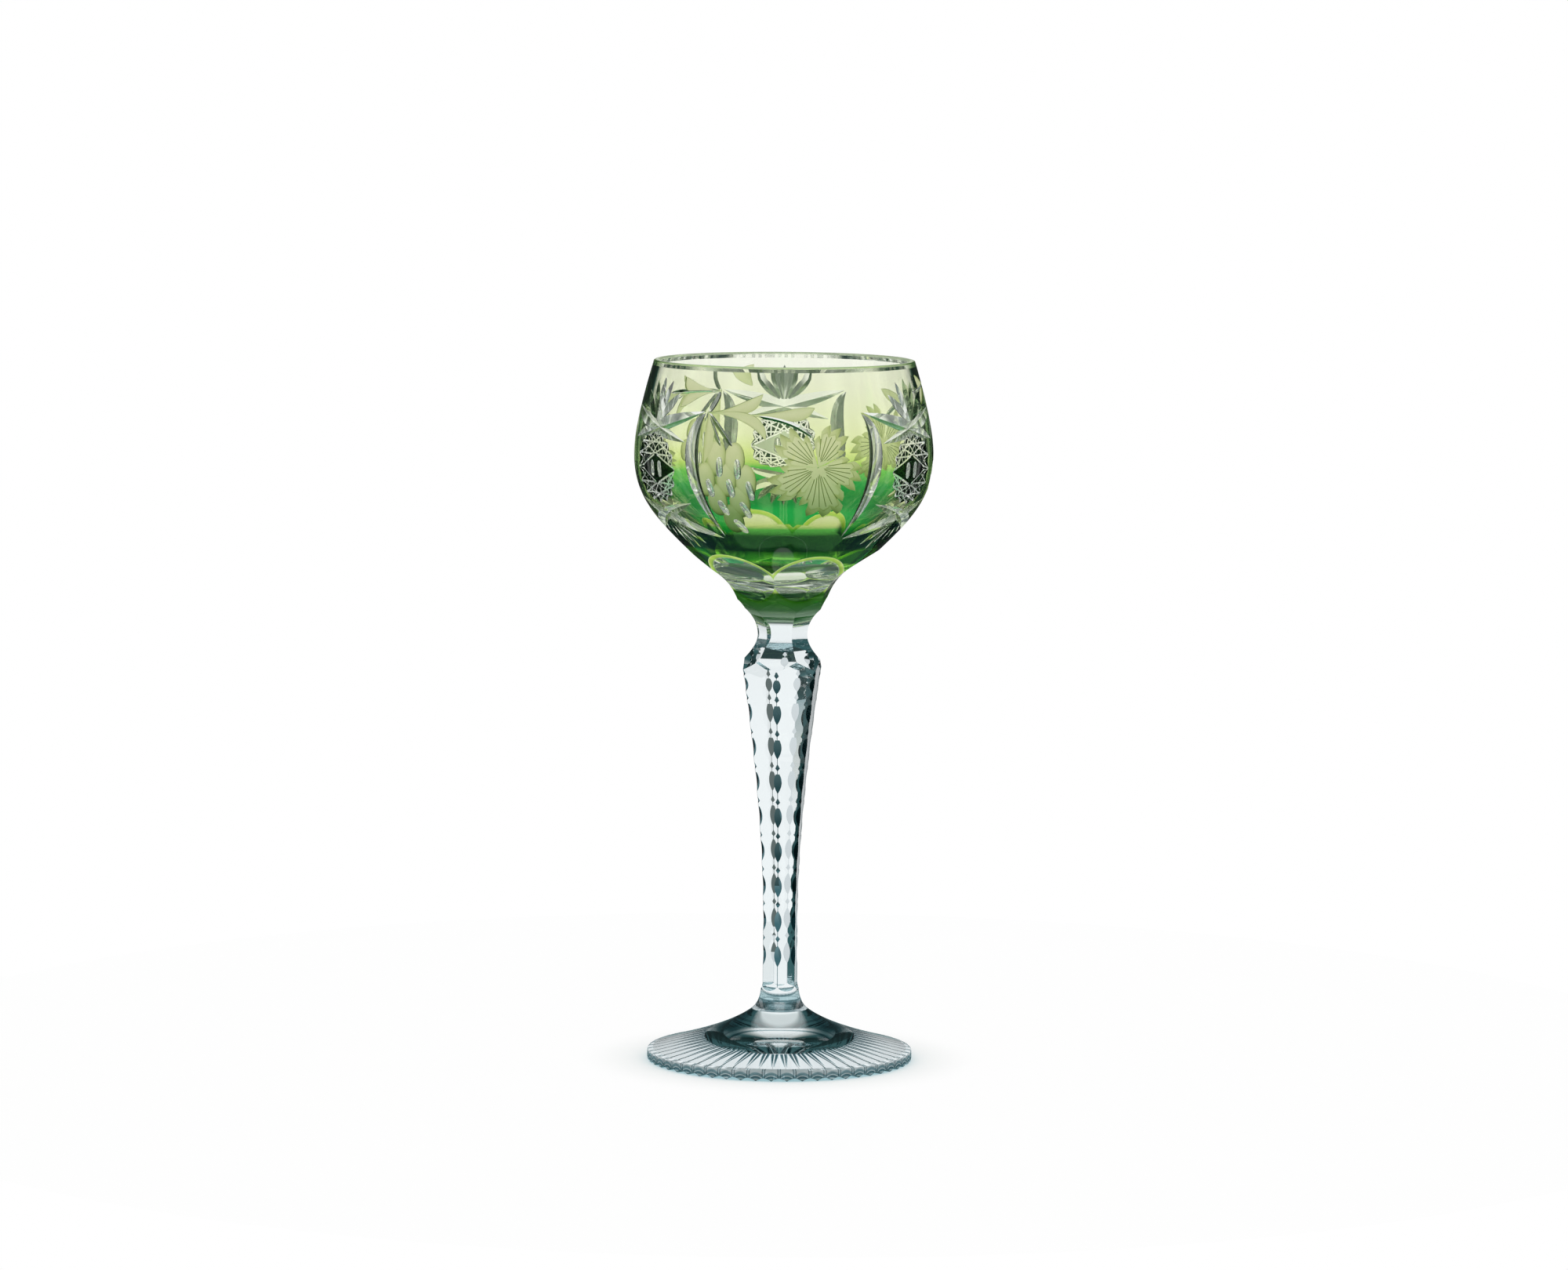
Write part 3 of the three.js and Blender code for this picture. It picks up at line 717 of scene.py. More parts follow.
def make_casing(cutters, materials):
    outside = OUTLINE[(OUTLINE[:, 1] > SKIN_END + 0.3) & (OUTLINE[:, 1] < RIM - 1.5 * RIM_ROUND)]
    rim = rim_arc(0, SKIN_AT_RIM / RIM_WALL)
    outside = np.vstack([[(radius_at(SKIN_END), SKIN_END)], outside, rim[:-1]])
    fused = np.vstack([rim[-1:], seat()[::-1]])
    parts = [(outside, SKIN), (fused, FUSED)]
    return carve(lathe("green_casing_cut", parts, BOWL_SIDES), cutters, materials)


def make_crystal(cutters, materials):
    below = OUTLINE[OUTLINE[:, 1] < SKIN_END - 0.3]
    fused = np.vstack([[(radius_at(SKIN_END), SKIN_END)], seat()])
    wall_line = moved_in(wall, CAVITY_FLOOR + 0.8, RIM - 2 * RIM_ROUND)
    inside = np.vstack([fused[-1:], rim_arc(SKIN_AT_RIM / RIM_WALL, 1), wall_line[:0:-1]])
    bend = (wall_line[0][0] * CAVITY_FLOOR_BREADTH, CAVITY_FLOOR)
    floor = bezier([(0, CAVITY_FLOOR), bend, wall_line[0]], 16)[::-1]
    parts = [([(0, BOWL_JOINT)], FUSED), (below, BASE), (fused[:-1], FUSED), (inside, INNER), (floor, BASE)]
    return carve(lathe("bowl_crystal_cut", parts, BOWL_SIDES), cutters, materials)


# Stem, with heights above its joint with the foot
ANKLE_RADIUS = 4.75
ANKLE_RISE = 25.0
STEM_BEND_RISE = 57.0
FLATS_FADE = [(6.95, 5.0), (4.75, 5.8), (4.75, 8.0)]
STEM_BLANK_RADIUS = 14.5
FLARE = [(8.2, 0.0), (5.55, 2.333), (5.55, 7.0)]

# Notches along the edges of the stem, with drops below its joint with the bowl
NOTCH_PITCH = 10.2
NOTCH_ROWS = 8
TOP_DIAMOND_DROP = 17.0
TOP_OLIVE_DROP = 20.6
TOP_OLIVE_LENGTH = 4.8
FIRST_ROW_DROP = 24.2
OLIVE_LENGTH = 6.8
OLIVE_DEPTH = 0.62
DIAMOND_LENGTH = 2.4
DIAMOND_DEPTH = 0.4
EDGE_LINE_DEPTH = 0.05
NOTCH_REACH = 4.0
# Painted teal shade of the notches and edge lines, a little lighter towards the top of each notch
NOTCH_SHADE = 0.58
NOTCH_FADE = 0.1


def stem_line():
    fade = bezier(raised(FLATS_FADE, FOOT_TOP), 12)
    shoulder = raised(SHOULDER_LINE, BOWL_JOINT)
    ankle, bend = (ANKLE_RADIUS, FOOT_TOP + ANKLE_RISE), (ANKLE_RADIUS, FOOT_TOP + STEM_BEND_RISE)
    return np.vstack([fade, bezier([ankle, bend, shoulder[0]], 24), shoulder[1:]])


def edge_line(line, azimuth):
    """The fine flat that softens an edge of the stem, painted with the teal shade of the notches."""
    sections = []
    for radius, z in line:
        edge = radius / EDGE_COSINE - EDGE_LINE_DEPTH
        sections.append(slab(azimuth, z, edge, edge + NOTCH_REACH, NOTCH_REACH))
    return swept("edge_line", sections, NOTCH, NOTCH_SHADE)


def notch(line, z, azimuth, length, depth, steps):
    """One cut square across an edge of the stem: a hollow, or two flats for a diamond."""
    edge = np.interp(z, line[:, 1], line[:, 0]) / EDGE_COSINE
    along = np.linspace(-1, 1, steps + 1)
    sink = (depth + TUCK) * (1 - along ** 2) - TUCK
    sections = []
    for side in (-NOTCH_REACH, NOTCH_REACH):
        corners = [(edge - s, side, z + a * length / 2) for s, a in zip(sink, along)]
        corners += [(edge + NOTCH_REACH, side, z + a * length / 2) for a in (1, -1)]
        sections.append(standing(azimuth, corners))
    shades = np.r_[NOTCH_SHADE - NOTCH_FADE * along, 0, 0]
    return swept("notch", sections, NOTCH, shades)


def stem_notches(line):
    cutters = []
    for side in range(SIDE_COUNT):
        azimuth = STEM_TURN + side * 360 / SIDE_COUNT
        cutters.append(edge_line(line, azimuth))
        diamonds = [BOWL_JOINT - TOP_DIAMOND_DROP]
        olives = [(BOWL_JOINT - TOP_OLIVE_DROP, TOP_OLIVE_LENGTH)]
        for row in range(NOTCH_ROWS):
            diamonds.append(BOWL_JOINT - FIRST_ROW_DROP - row * NOTCH_PITCH)
            olives.append((diamonds[-1] - NOTCH_PITCH / 2, OLIVE_LENGTH))
        cutters += [notch(line, z, azimuth, DIAMOND_LENGTH, DIAMOND_DEPTH, 2) for z in diamonds]
        cutters += [notch(line, z, azimuth, length, OLIVE_DEPTH, 14) for z, length in olives]
    return cutters


def make_stem(materials):
    line = stem_line()
    blank = [*bezier(raised(FLARE, FOOT_TOP), 12), (STEM_BLANK_RADIUS, FOOT_TOP + ANKLE_RISE)]
    top = [(STEM_BLANK_RADIUS, BOWL_JOINT), (0, BOWL_JOINT)]
    parts = [([(0, FOOT_TOP)], JOINT), (blank, CLEAR_GLASS), (top, JOINT)]
    cutters = ring_cutters(line, STEM_TURN, CLEAR_GLASS) + stem_notches(line)
    cutters += neck_cutters(CLEAR_GLASS)
    return carve(lathe("stem_cut", parts, STEM_SIDES), cutters, materials)


# Foot
FOOT_RADIUS = 39.1
FOOT_EDGE = 3.1
FOOT_ROUND = 0.5
FOOT_BEND = (15.3, 9.3)
FOOT_JOINT_RADIUS = 8.2
DOME_RADIUS = 14.0
DOME_HEIGHT = 1.2

# Flutes of the underside: places are shares of half a flute's breadth
FLUTE_COUNT = 54
FLUTE_INNER = 20.0
FLUTE_DEPTH = 0.9
FLUTE_EASE = 0.8
FLUTE_STEPS = 20
FLUTE_OVERRUN = (0.6, 2.0)
FLUTE_BELOW = -5.0
FLUTE_BREADTH = 0.985
FLUTE_PLACES = np.array([-1, -0.9, -0.87, -0.7, -0.55, -0.4, -0.2, 0, 0.2, 0.4, 0.55, 0.7, 0.87, 0.9, 1])
# Painted teal shade along the sides of the flutes, clear between
FLUTE_SHADE = 0.8
FLUTE_SHADE_END = 0.9
FLUTE_SHADE_RISE = 6
FLUTE_CLEAR = (0.1, 0.97)
FLUTE_CLEAR_RISE = 1.25


def flute_shade(share):
    """Painted teal shade along the sides of a flute, with a clear space between that widens outwards."""
    place = np.abs(FLUTE_PLACES)
    clear = np.clip(FLUTE_CLEAR_RISE * share + FLUTE_CLEAR[0], *FLUTE_CLEAR)
    shade = np.clip((place - clear) * FLUTE_SHADE_RISE, 0, 1) * (place < FLUTE_SHADE_END)
    return np.r_[FLUTE_SHADE * shade, 0, 0]


def flute(index):
    """An arched cut in the underside of the foot that starts at nothing and deepens towards the edge."""
    inner, outer = FLUTE_INNER - FLUTE_OVERRUN[0], FOOT_RADIUS + FLUTE_OVERRUN[1]
    sections, shades = [], []
    for radius in np.linspace(inner, outer, FLUTE_STEPS):
        half = radius * math.tan(math.pi / FLUTE_COUNT) * FLUTE_BREADTH
        share = (radius - FLUTE_INNER) / (FOOT_RADIUS - FLUTE_INNER)
        crest = FLUTE_DEPTH * math.copysign(abs(share) ** FLUTE_EASE, share)
        corners = [(radius, half * place, crest * (1 - place * place)) for place in FLUTE_PLACES]
        corners += [(radius, half * side, FLUTE_BELOW) for side in (1, -1)]
        sections.append(standing(index * 360 / FLUTE_COUNT, corners))
        shades.append(flute_shade(share))
    return swept("flute", sections, NOTCH, shades)


def make_foot(materials):
    top = bezier([(FOOT_RADIUS - FOOT_ROUND, FOOT_EDGE), FOOT_BEND, (FOOT_JOINT_RADIUS, FOOT_TOP)], 40)
    top = [*top[1:], (0, FOOT_TOP)]
    dome = bezier([(0, DOME_HEIGHT), (DOME_RADIUS / 2, DOME_HEIGHT), (DOME_RADIUS, 0)], 16)
    turns = np.linspace(0, math.pi / 2, 6)
    rounding = FOOT_ROUND * (1 - np.sin(turns)), FOOT_ROUND * (1 - np.cos(turns))
    low = np.column_stack([FOOT_RADIUS - rounding[0], rounding[1]])
    high = np.column_stack([FOOT_RADIUS - rounding[1], FOOT_EDGE - rounding[0]])
    parts = [(dome, CLEAR_GLASS), (low, EDGE), (high, EDGE), (top, CLEAR_GLASS)]
    cutters = [flute(index) for index in range(FLUTE_COUNT)]
    return carve(lathe("foot_cut", parts, FOOT_SIDES_PER_FLUTE * FLUTE_COUNT), cutters, materials)


# Material values: bending of light, and the satin of finely cut or softened surfaces
GLASS_IOR = 1.53
BOWL_IOR = 1.5
SOFT_IOR = 1.1
EDGE_SATIN = 0.35
CUT_SATIN = 0.22
RIM_SATIN = 0.5

# Tints, and the colours that surfaces give to light on its way to the floor
WHITE = (1.0, 1.0, 1.0)
CRYSTAL_TINT = (0.9, 0.955, 0.97)
PALE_CRYSTAL = (0.9, 0.95, 0.97)
DEEP_TEAL = (0.0035, 0.022, 0.03)
BLACK_TEAL = (0.0006, 0.003, 0.0035)
INNER_TINT = (0.98, 0.99, 0.97)
# Painted green shade of the rounded rim
RIM_PAINTED_SHADE = (0.62, 0.72, 0.5)
CRYSTAL_SHADOW = (0.6, 0.76, 0.8)
CUT_SHADOW = (0.9, 0.94, 0.88)
SKIN_SHADOW = (0.85, 0.95, 0.75)
MATTE_SHADOW = (0.8, 0.88, 0.65)


def greys(*stops):
    return [(place, (value, value, value)) for place, value in stops]


# Painted teal shade of the cuts in the stem and flutes, by their shade value, paler where a cut in the stem
# is seen through the glass
NOTCH_SHADE_STOPS = [(0.0, (0.85, 0.93, 0.95)), (0.25, (0.06, 0.16, 0.19)), (0.6, DEEP_TEAL), (1.0, BLACK_TEAL)]
NOTCH_PALE = (0.72, 0.8, 0.84)
NOTCH_THROUGH = 0.6
FLUTE_SHADE_STOPS = [(0.0, (0.78, 0.86, 0.89)), (0.25, (0.12, 0.24, 0.28)), (0.6, DEEP_TEAL), (1.0, BLACK_TEAL)]

# Painted teal shade on the rising middle of the foot and its painted sheen, by the angle of view, and
# painted rings of light and shade under it, by radius
CONE_RADII = (17.0, 30.0)
CONE_EASE = 0.2
CONE_SHADE_STOPS = [(0.0, CRYSTAL_TINT), (0.45, CRYSTAL_TINT), (0.62, (0.06, 0.15, 0.18)),
              (1.0, (0.03, 0.09, 0.11))]
PAINTED_SHEEN_RADII = (17.0, 19.5)
PAINTED_SHEEN_STOPS = greys((0.0, 0.9), (0.38, 0.7), (0.44, 0.3), (0.52, 0.0))
PAINTED_RING_RADII = (13.0, 21.0)
PAINTED_RING_STOPS = [(0.0, PALE_CRYSTAL), (0.14, PALE_CRYSTAL), (0.2, (0.03, 0.1, 0.12)), (0.3, (0.05, 0.14, 0.17)),
              (0.36, PALE_CRYSTAL), (0.52, PALE_CRYSTAL), (0.58, (0.08, 0.2, 0.24)),
              (0.66, (0.6, 0.72, 0.76)), (0.8, PALE_CRYSTAL), (0.9, (0.2, 0.36, 0.4)), (1.0, PALE_CRYSTAL)]

# Painted light and shade on the edge of the foot, by height in an arch and by the place across a flute
ARCH_RISE = 0.35
ARCH_TEAL = (0.06, 0.15, 0.18)
PAINTED_ARCH_STOPS = [(0.0, ARCH_TEAL), (0.1, ARCH_TEAL), (0.18, (0.8, 0.9, 0.92)), (0.3, (0.2, 0.34, 0.38)),
              (0.46, (0.06, 0.16, 0.2)), (0.54, (0.85, 0.93, 0.95)), (0.64, (0.24, 0.38, 0.42)),
              (0.84, (0.34, 0.48, 0.52)), (0.9, PALE_CRYSTAL), (1.0, PALE_CRYSTAL)]
PAINTED_ARCH_SIDE_STOPS = [(0.0, WHITE), (0.74, WHITE), (0.84, (0.05, 0.13, 0.16)), (0.94, WHITE),
                   (1.0, (0.5, 0.65, 0.7))]

# Cuts in the bowl, by their painted shade, which grows where they are seen edge-on and fades seen through
# the glass
CUT_SHADE_STOPS = [(0.0, (0.97, 0.985, 0.96)), (0.35, (0.3, 0.4, 0.22)), (0.7, (0.02, 0.06, 0.02)),
             (1.0, (0.0004, 0.003, 0.0006))]
CUT_FACING = (0.45, 1.3)
CUT_THROUGH = -0.62

# Painted light and shade on the faceted base, by height and by depth under the blown outline
RIM_FADE = (1.2, 0.8)
BASE_HEIGHTS = (132.0, 150.0)
BASE_LIGHT_AND_SHADE_STOPS = [(0.0, (0.3, 0.4, 0.37)), (0.12, (0.05, 0.14, 0.06)), (0.25, (0.03, 0.14, 0.02)),
              (0.42, (0.03, 0.12, 0.02)), (0.47, (0.95, 0.97, 0.95)), (0.55, (0.95, 0.97, 0.95)),
              (0.62, (0.7, 0.8, 0.62)), (1.0, (0.9, 0.95, 0.8))]
BAND_DEPTHS = (0.0, 4.0)
BAND_LIGHT_AND_SHADE_STOPS = [(0.0, (0.85, 0.92, 0.7)), (0.03, (0.7, 0.85, 0.2)), (0.14, (0.45, 0.72, 0.12)),
              (0.18, (1.0, 1.0, 0.95)), (1.0, WHITE)]
# A satin share, high along the painted lime band
BAND_SATIN = greys((0.0, 0.7), (0.13, 0.6), (0.2, 0.04), (1.0, 0.04))

# Green skin by height, seen from outside and through the glass, with painted bands of light and shade low
# down, and painted shade towards its outline
SKIN_HEIGHTS = (146.0, 207.0)
SKIN_GREEN_LIGHT_AND_SHADE_STOPS = [(0.0, (0.1, 0.6, 0.01)), (0.09, (0.09, 0.55, 0.01)), (0.12, (0.001, 0.01, 0.001)),
              (0.2, (0.001, 0.012, 0.001)), (0.235, (0.02, 0.26, 0.01)), (0.255, (0.46, 0.6, 0.09)),
              (0.3, (0.7, 0.77, 0.26)), (0.42, (0.72, 0.82, 0.28)), (0.5, (0.78, 0.88, 0.36)),
              (0.62, (0.88, 0.94, 0.56)), (1.0, (0.94, 0.97, 0.76))]
FAR_GREEN_AND_SHADE_STOPS = [(0.0, (0.0006, 0.24, 0.02)), (0.09, (0.0005, 0.2, 0.016)), (0.12, (0.0004, 0.1, 0.008)),
             (0.18, (0.0004, 0.08, 0.006)), (0.27, (0.0005, 0.16, 0.012)), (0.35, (0.02, 0.34, 0.018)),
             (0.41, (0.34, 0.62, 0.06)), (0.475, (0.66, 0.83, 0.2)), (0.557, (0.84, 0.93, 0.46)),
             (0.8, (0.92, 0.96, 0.68)), (1.0, (0.94, 0.97, 0.76))]
OUTLINE_SHADE_STOPS = [(0.0, WHITE), (0.64, WHITE), (0.72, (0.25, 0.42, 0.15)), (0.77, (0.02, 0.08, 0.016)),
              (0.88, (0.02, 0.08, 0.016)), (0.92, (0.4, 0.55, 0.3)), (1.0, (0.8, 0.88, 0.65))]

# Engraving, darker towards the bottom by height, and darker with its painted shade
MATTE_STOPS = [(0.0, (0.04, 0.16, 0.02)), (0.2, (0.08, 0.2, 0.04)), (0.31, (0.22, 0.34, 0.1)),
               (0.42, (0.5, 0.58, 0.27)), (0.55, (0.68, 0.72, 0.38)), (1.0, (0.74, 0.77, 0.48))]
MATTE_SHADE_STOPS = [(0.0, WHITE), (0.4, (0.7, 0.76, 0.5)), (0.75, (0.3, 0.38, 0.16)), (1.0, (0.1, 0.15, 0.05))]
MATTE_ROUGHNESS = 0.5
MATTE_HAZE = 0.6
GRAIN_SCALE = 2600.0
GRAIN_SHADE = 0.16


class Shader:
    """A material's or world's node tree, with short calls to add nodes and link them. Colours are given as
    three numbers."""

    def __init__(self, tree):
        self.tree = tree
        tree.nodes.clear()

    def put(self, socket, value):
        if isinstance(value, bpy.types.NodeSocket):
            self.tree.links.new(value, socket)
        else:
            socket.default_value = (*value, 1) if isinstance(value, tuple) else value

    def add(self, kind, settings=(), **inputs):
        node = self.tree.nodes.new("ShaderNode" + kind)
        for name, value in dict(settings).items():
            setattr(node, name, value)
        for name, value in inputs.items():
            self.put(node.inputs[name.replace("_", " ")], value)
        return node

    def math(self, operation, *values):
        node = self.add("Math", {"operation": operation})
        for socket, value in zip(node.inputs, values):
            self.put(socket, value)
        return node.outputs[0]

    def ramp(self, factor, stops, interpolation="LINEAR"):
        node = self.add("ValToRGB", Fac=factor)
        node.color_ramp.interpolation = interpolation
        while len(node.color_ramp.elements) < len(stops):
            node.color_ramp.elements.new(1)
        for element, (place, colour) in zip(node.color_ramp.elements, stops):
            element.position = place
            element.color = (*colour, 1)
        return node.outputs["Color"]

    def mix_colour(self, factor, first, second, blend="MIX"):
        settings = {"data_type": "RGBA", "blend_type": blend}
        return self.add("Mix", settings, Factor=factor, A=first, B=second).outputs["Result"]

    def times(self, first, second):
        return self.mix_colour(1.0, first, second, "MULTIPLY")

    def mix_shader(self, factor, first, second):
        node = self.add("MixShader")
        for socket, value in zip(node.inputs, (factor, first, second)):
            self.put(socket, value)
        return node.outputs[0]

    def axes(self, coordinates="Object"):
        place = self.add("TexCoord").outputs[coordinates]
        return self.add("SeparateXYZ", Vector=place).outputs

    def behind(self):
        """1 where a surface is seen through the glass, from its inner side."""
        return self.add("NewGeometry").outputs["Backfacing"]

    def facing(self):
        """0 where a surface is seen square on, and 1 where it is seen edge-on."""
        return self.add("LayerWeight", Blend=0.5).outputs["Facing"]

    def shade(self):
        return self.add("Attribute", {"attribute_name": SHADE}).outputs["Fac"]

    def diffuse(self, colour):
        return self.add("BsdfDiffuse", Color=colour).outputs[0]


# Materials

def material(name):
    made = bpy.data.materials.new(name)
    made.use_nodes = True
    return made, Shader(made.node_tree)


def share_between(shader, value, low, high):
    """0 at the low value and 1 at the high one, both in millimetres, held beyond them."""
    return shader.add("MapRange", Value=value, From_Min=low * MM, From_Max=high * MM).outputs["Result"]


def radius_of(shader, axes):
    square = shader.math("MULTIPLY_ADD", axes["X"], axes["X"], shader.math("MULTIPLY", axes["Y"], axes["Y"]))
    return shader.math("SQRT", square)


def mirrored(shader):
    """1 for light that has been mirrored on its way, 0 for light that came straight through the glass."""
    return shader.math("MINIMUM", shader.add("LightPath").outputs["Glossy Depth"], 1.0)


def plain_glass(shader, colour, roughness=0.0, ior=GLASS_IOR):
    values = {"Roughness": roughness, "IOR": ior, "Base_Color": colour, "Transmission_Weight": 1.0}
    return shader.add("BsdfPrincipled", **values).outputs[0]


def satin_glass(shader, colour, share, ior=GLASS_IOR):
    """Glass that also takes up some of the studio's soft light, as a finely cut surface does."""
    return shader.mix_shader(share, plain_glass(shader, colour, ior=ior), shader.diffuse(colour))


def finish_glass(shader, glass, tint, unseen_in_mirrors=False):
    """Light that falls on the floor or on a matte surface comes straight through the glass, tinted."""
    path = shader.add("LightPath").outputs
    passing = shader.math("MAXIMUM", path["Is Shadow Ray"], path["Is Diffuse Ray"])
    if unseen_in_mirrors:
        passing = shader.math("MAXIMUM", passing, mirrored(shader))
    clear = shader.add("BsdfTransparent", Color=tint).outputs[0]
    shader.add("OutputMaterial", Surface=shader.mix_shader(passing, glass, clear))


def clear_crystal():
    """Polished crystal of the stem, with the faint blue that thick glass has."""
    made, shader = material("clear_crystal")
    finish_glass(shader, plain_glass(shader, CRYSTAL_TINT), CRYSTAL_SHADOW)
    return made


def foot_crystal():
    """The foot's crystal: its rising middle has painted teal shade where it is seen edge-on and a painted
    sheen in front, and under it, seen through the glass, painted rings of light and shade.
    """
    made, shader = material("foot_crystal")
    radius = radius_of(shader, shader.axes())
    beyond = share_between(shader, radius, *CONE_RADII)
    behind, facing = shader.behind(), shader.facing()
    middle = shader.math("SUBTRACT", 1.0, shader.math("MAXIMUM", beyond, behind))
    eased = shader.math("MULTIPLY", facing, shader.math("MULTIPLY_ADD", beyond, -CONE_EASE, 1.0))
    # Painted teal shade on the rising middle where it is seen edge-on
    flank = shader.ramp(eased, CONE_SHADE_STOPS)
    # Painted rings of light and shade under the middle, seen through the glass
    rings = shader.ramp(share_between(shader, radius, *PAINTED_RING_RADII), PAINTED_RING_STOPS)
    colour = shader.mix_colour(middle, shader.mix_colour(behind, CRYSTAL_TINT, rings), flank)
    hidden = shader.math("MAXIMUM", share_between(shader, radius, *PAINTED_SHEEN_RADII), behind)
    front = shader.math("SUBTRACT", 1.0, hidden)
    # A painted sheen: a white diffuse share in front, where the middle is seen square on
    sheen = shader.math("MULTIPLY", shader.ramp(facing, PAINTED_SHEEN_STOPS, "EASE"), front)
    glass = shader.mix_shader(sheen, plain_glass(shader, colour), shader.diffuse(CRYSTAL_TINT))
    finish_glass(shader, glass, CRYSTAL_SHADOW)
    return made


def notched_crystal():
    """Cuts in the stem, painted with teal shade, and paler when seen through the glass."""
    made, shader = material("cut_crystal")
    through = shader.math("MULTIPLY", shader.behind(), NOTCH_THROUGH)
    colour = shader.mix_colour(through, shader.ramp(shader.shade(), NOTCH_SHADE_STOPS), NOTCH_PALE)
    finish_glass(shader, plain_glass(shader, colour, ior=SOFT_IOR), CRYSTAL_SHADOW)
    return made


def fluted_underside():
    """The flutes of the underside, with painted teal shade along their sides and clear between. They bend
    light little, so that the white floor shows through."""
    made, shader = material("fluted_crystal")
    colour = shader.ramp(shader.shade(), FLUTE_SHADE_STOPS)
    finish_glass(shader, plain_glass(shader, colour, ior=SOFT_IOR), CRYSTAL_SHADOW)
    return made


def foot_edge():
    """The edge of the foot, painted with the arch of each flute as rings of teal shade and white light."""
    made, shader = material("foot_edge")
    axes = shader.axes()
    around_axis = shader.math("ARCTAN2", axes["Y"], axes["X"])
    turn = shader.math("MULTIPLY_ADD", around_axis, FLUTE_COUNT / (2 * math.pi), FLUTE_COUNT + 0.5)
    across = shader.math("ABSOLUTE", shader.math("MULTIPLY_ADD", shader.math("FRACT", turn), 2.0, -1.0))
    height = shader.math("DIVIDE", axes["Z"], FOOT_EDGE * MM)
    arch = shader.math("MULTIPLY_ADD", shader.math("MULTIPLY", across, across), ARCH_RISE, height)
    colour = shader.times(shader.ramp(arch, PAINTED_ARCH_STOPS), shader.ramp(across, PAINTED_ARCH_SIDE_STOPS))
    finish_glass(shader, satin_glass(shader, colour, EDGE_SATIN, SOFT_IOR), CRYSTAL_SHADOW)
    return made


def cut_facets():
    """Cuts through the skin into clear glass, with painted green-black shade on their steep sides, more
    where they are seen edge-on and less seen through the glass.
    """
    made, shader = material("cut_facets")
    near = shader.math("MULTIPLY_ADD", shader.facing(), CUT_FACING[1], CUT_FACING[0])
    ease = shader.math("MULTIPLY_ADD", shader.behind(), CUT_THROUGH, 1.0)
    shade = shader.math("MULTIPLY", shader.shade(), shader.math("MULTIPLY", near, ease))
    finish_glass(shader, satin_glass(shader, shader.ramp(shade, CUT_SHADE_STOPS), CUT_SATIN, BOWL_IOR), CUT_SHADOW)
    return made


def inner_glass():
    """The smooth inside of the bowl, with painted green shade on the rounded rim and a satin share there."""
    made, shader = material("inner_glass")
    rim = share_between(shader, shader.axes()["Z"], *(RIM - fade * RIM_ROUND for fade in RIM_FADE))
    colour = shader.mix_colour(rim, INNER_TINT, RIM_PAINTED_SHADE)
    glass = satin_glass(shader, colour, shader.math("MULTIPLY", rim, RIM_SATIN), BOWL_IOR)
    finish_glass(shader, glass, INNER_TINT)
    return made


def base_facets():
    """The faceted base of the bowl, painted with light and shade: a lime highlight along the skin, clear
    below it, and deep green shade above the waist.
    """
    made, shader = material("base_facets")
    axes = shader.axes()
    by_height = shader.ramp(share_between(shader, axes["Z"], *BASE_HEIGHTS), BASE_LIGHT_AND_SHADE_STOPS)
    blown = shader.math("MULTIPLY_ADD", axes["Z"], FLANK_SLOPE, (FLANK_RADIUS - FLANK_SLOPE * FLANK_Z) * MM)
    depth = shader.math("SUBTRACT", blown, radius_of(shader, axes))
    depth = share_between(shader, depth, *BAND_DEPTHS)
    colour = shader.times(by_height, shader.ramp(depth, BAND_LIGHT_AND_SHADE_STOPS))
    finish_glass(shader, satin_glass(shader, colour, shader.ramp(depth, BAND_SATIN)), CUT_SHADOW)
    return made


def green_skin():
    """The transparent green skin: pale at the rim and deep green towards the base, with a painted lime band
    of light and a near-black band of painted shade low down, deeper painted greens where it is seen through
    the glass, and painted shade where it is seen edge-on.
    """
    made, shader = material("green_skin")
    share = share_between(shader, shader.axes()["Z"], *SKIN_HEIGHTS)
    near, far = shader.ramp(share, SKIN_GREEN_LIGHT_AND_SHADE_STOPS), shader.ramp(share, FAR_GREEN_AND_SHADE_STOPS)
    edge = shader.ramp(shader.facing(), OUTLINE_SHADE_STOPS)
    colour = shader.times(shader.mix_colour(shader.behind(), near, far), edge)
    finish_glass(shader, plain_glass(shader, colour, ior=BOWL_IOR), SKIN_SHADOW)
    return made


def engraved():
    """The matte surface that the engraver's wheel leaves in the skin. Its painted shade makes it greener
    where the cut is shallow and more skin is left, and also paints shade into the creases between grapes,
    the steps between teeth, the veins, the outlines of lobes and blades and the lower side of each grape.
    """
    made, shader = material("engraved_matte")
    pale = shader.ramp(share_between(shader, shader.axes()["Z"], *SKIN_HEIGHTS), MATTE_STOPS)
    place = shader.add("TexCoord").outputs["Object"]
    grain = shader.add("TexNoise", Vector=place, Scale=GRAIN_SCALE, Detail=2.0).outputs["Fac"]
    grain = shader.math("MULTIPLY_ADD", grain, GRAIN_SHADE, -GRAIN_SHADE / 2)
    shade = shader.math("ADD", shader.shade(), grain)
    colour = shader.times(pale, shader.ramp(shade, MATTE_SHADE_STOPS))
    glass = plain_glass(shader, colour, MATTE_ROUGHNESS, BOWL_IOR)
    hazy = shader.mix_shader(MATTE_HAZE, glass, shader.diffuse(colour))
    finish_glass(shader, hazy, MATTE_SHADOW, unseen_in_mirrors=True)
    return made


def fused_face():
    """Where two lengths of glass are fused nothing shows, so light passes straight on."""
    made, shader = material("fused_face")
    shader.add("OutputMaterial", Surface=shader.add("BsdfTransparent").outputs[0])
    return made


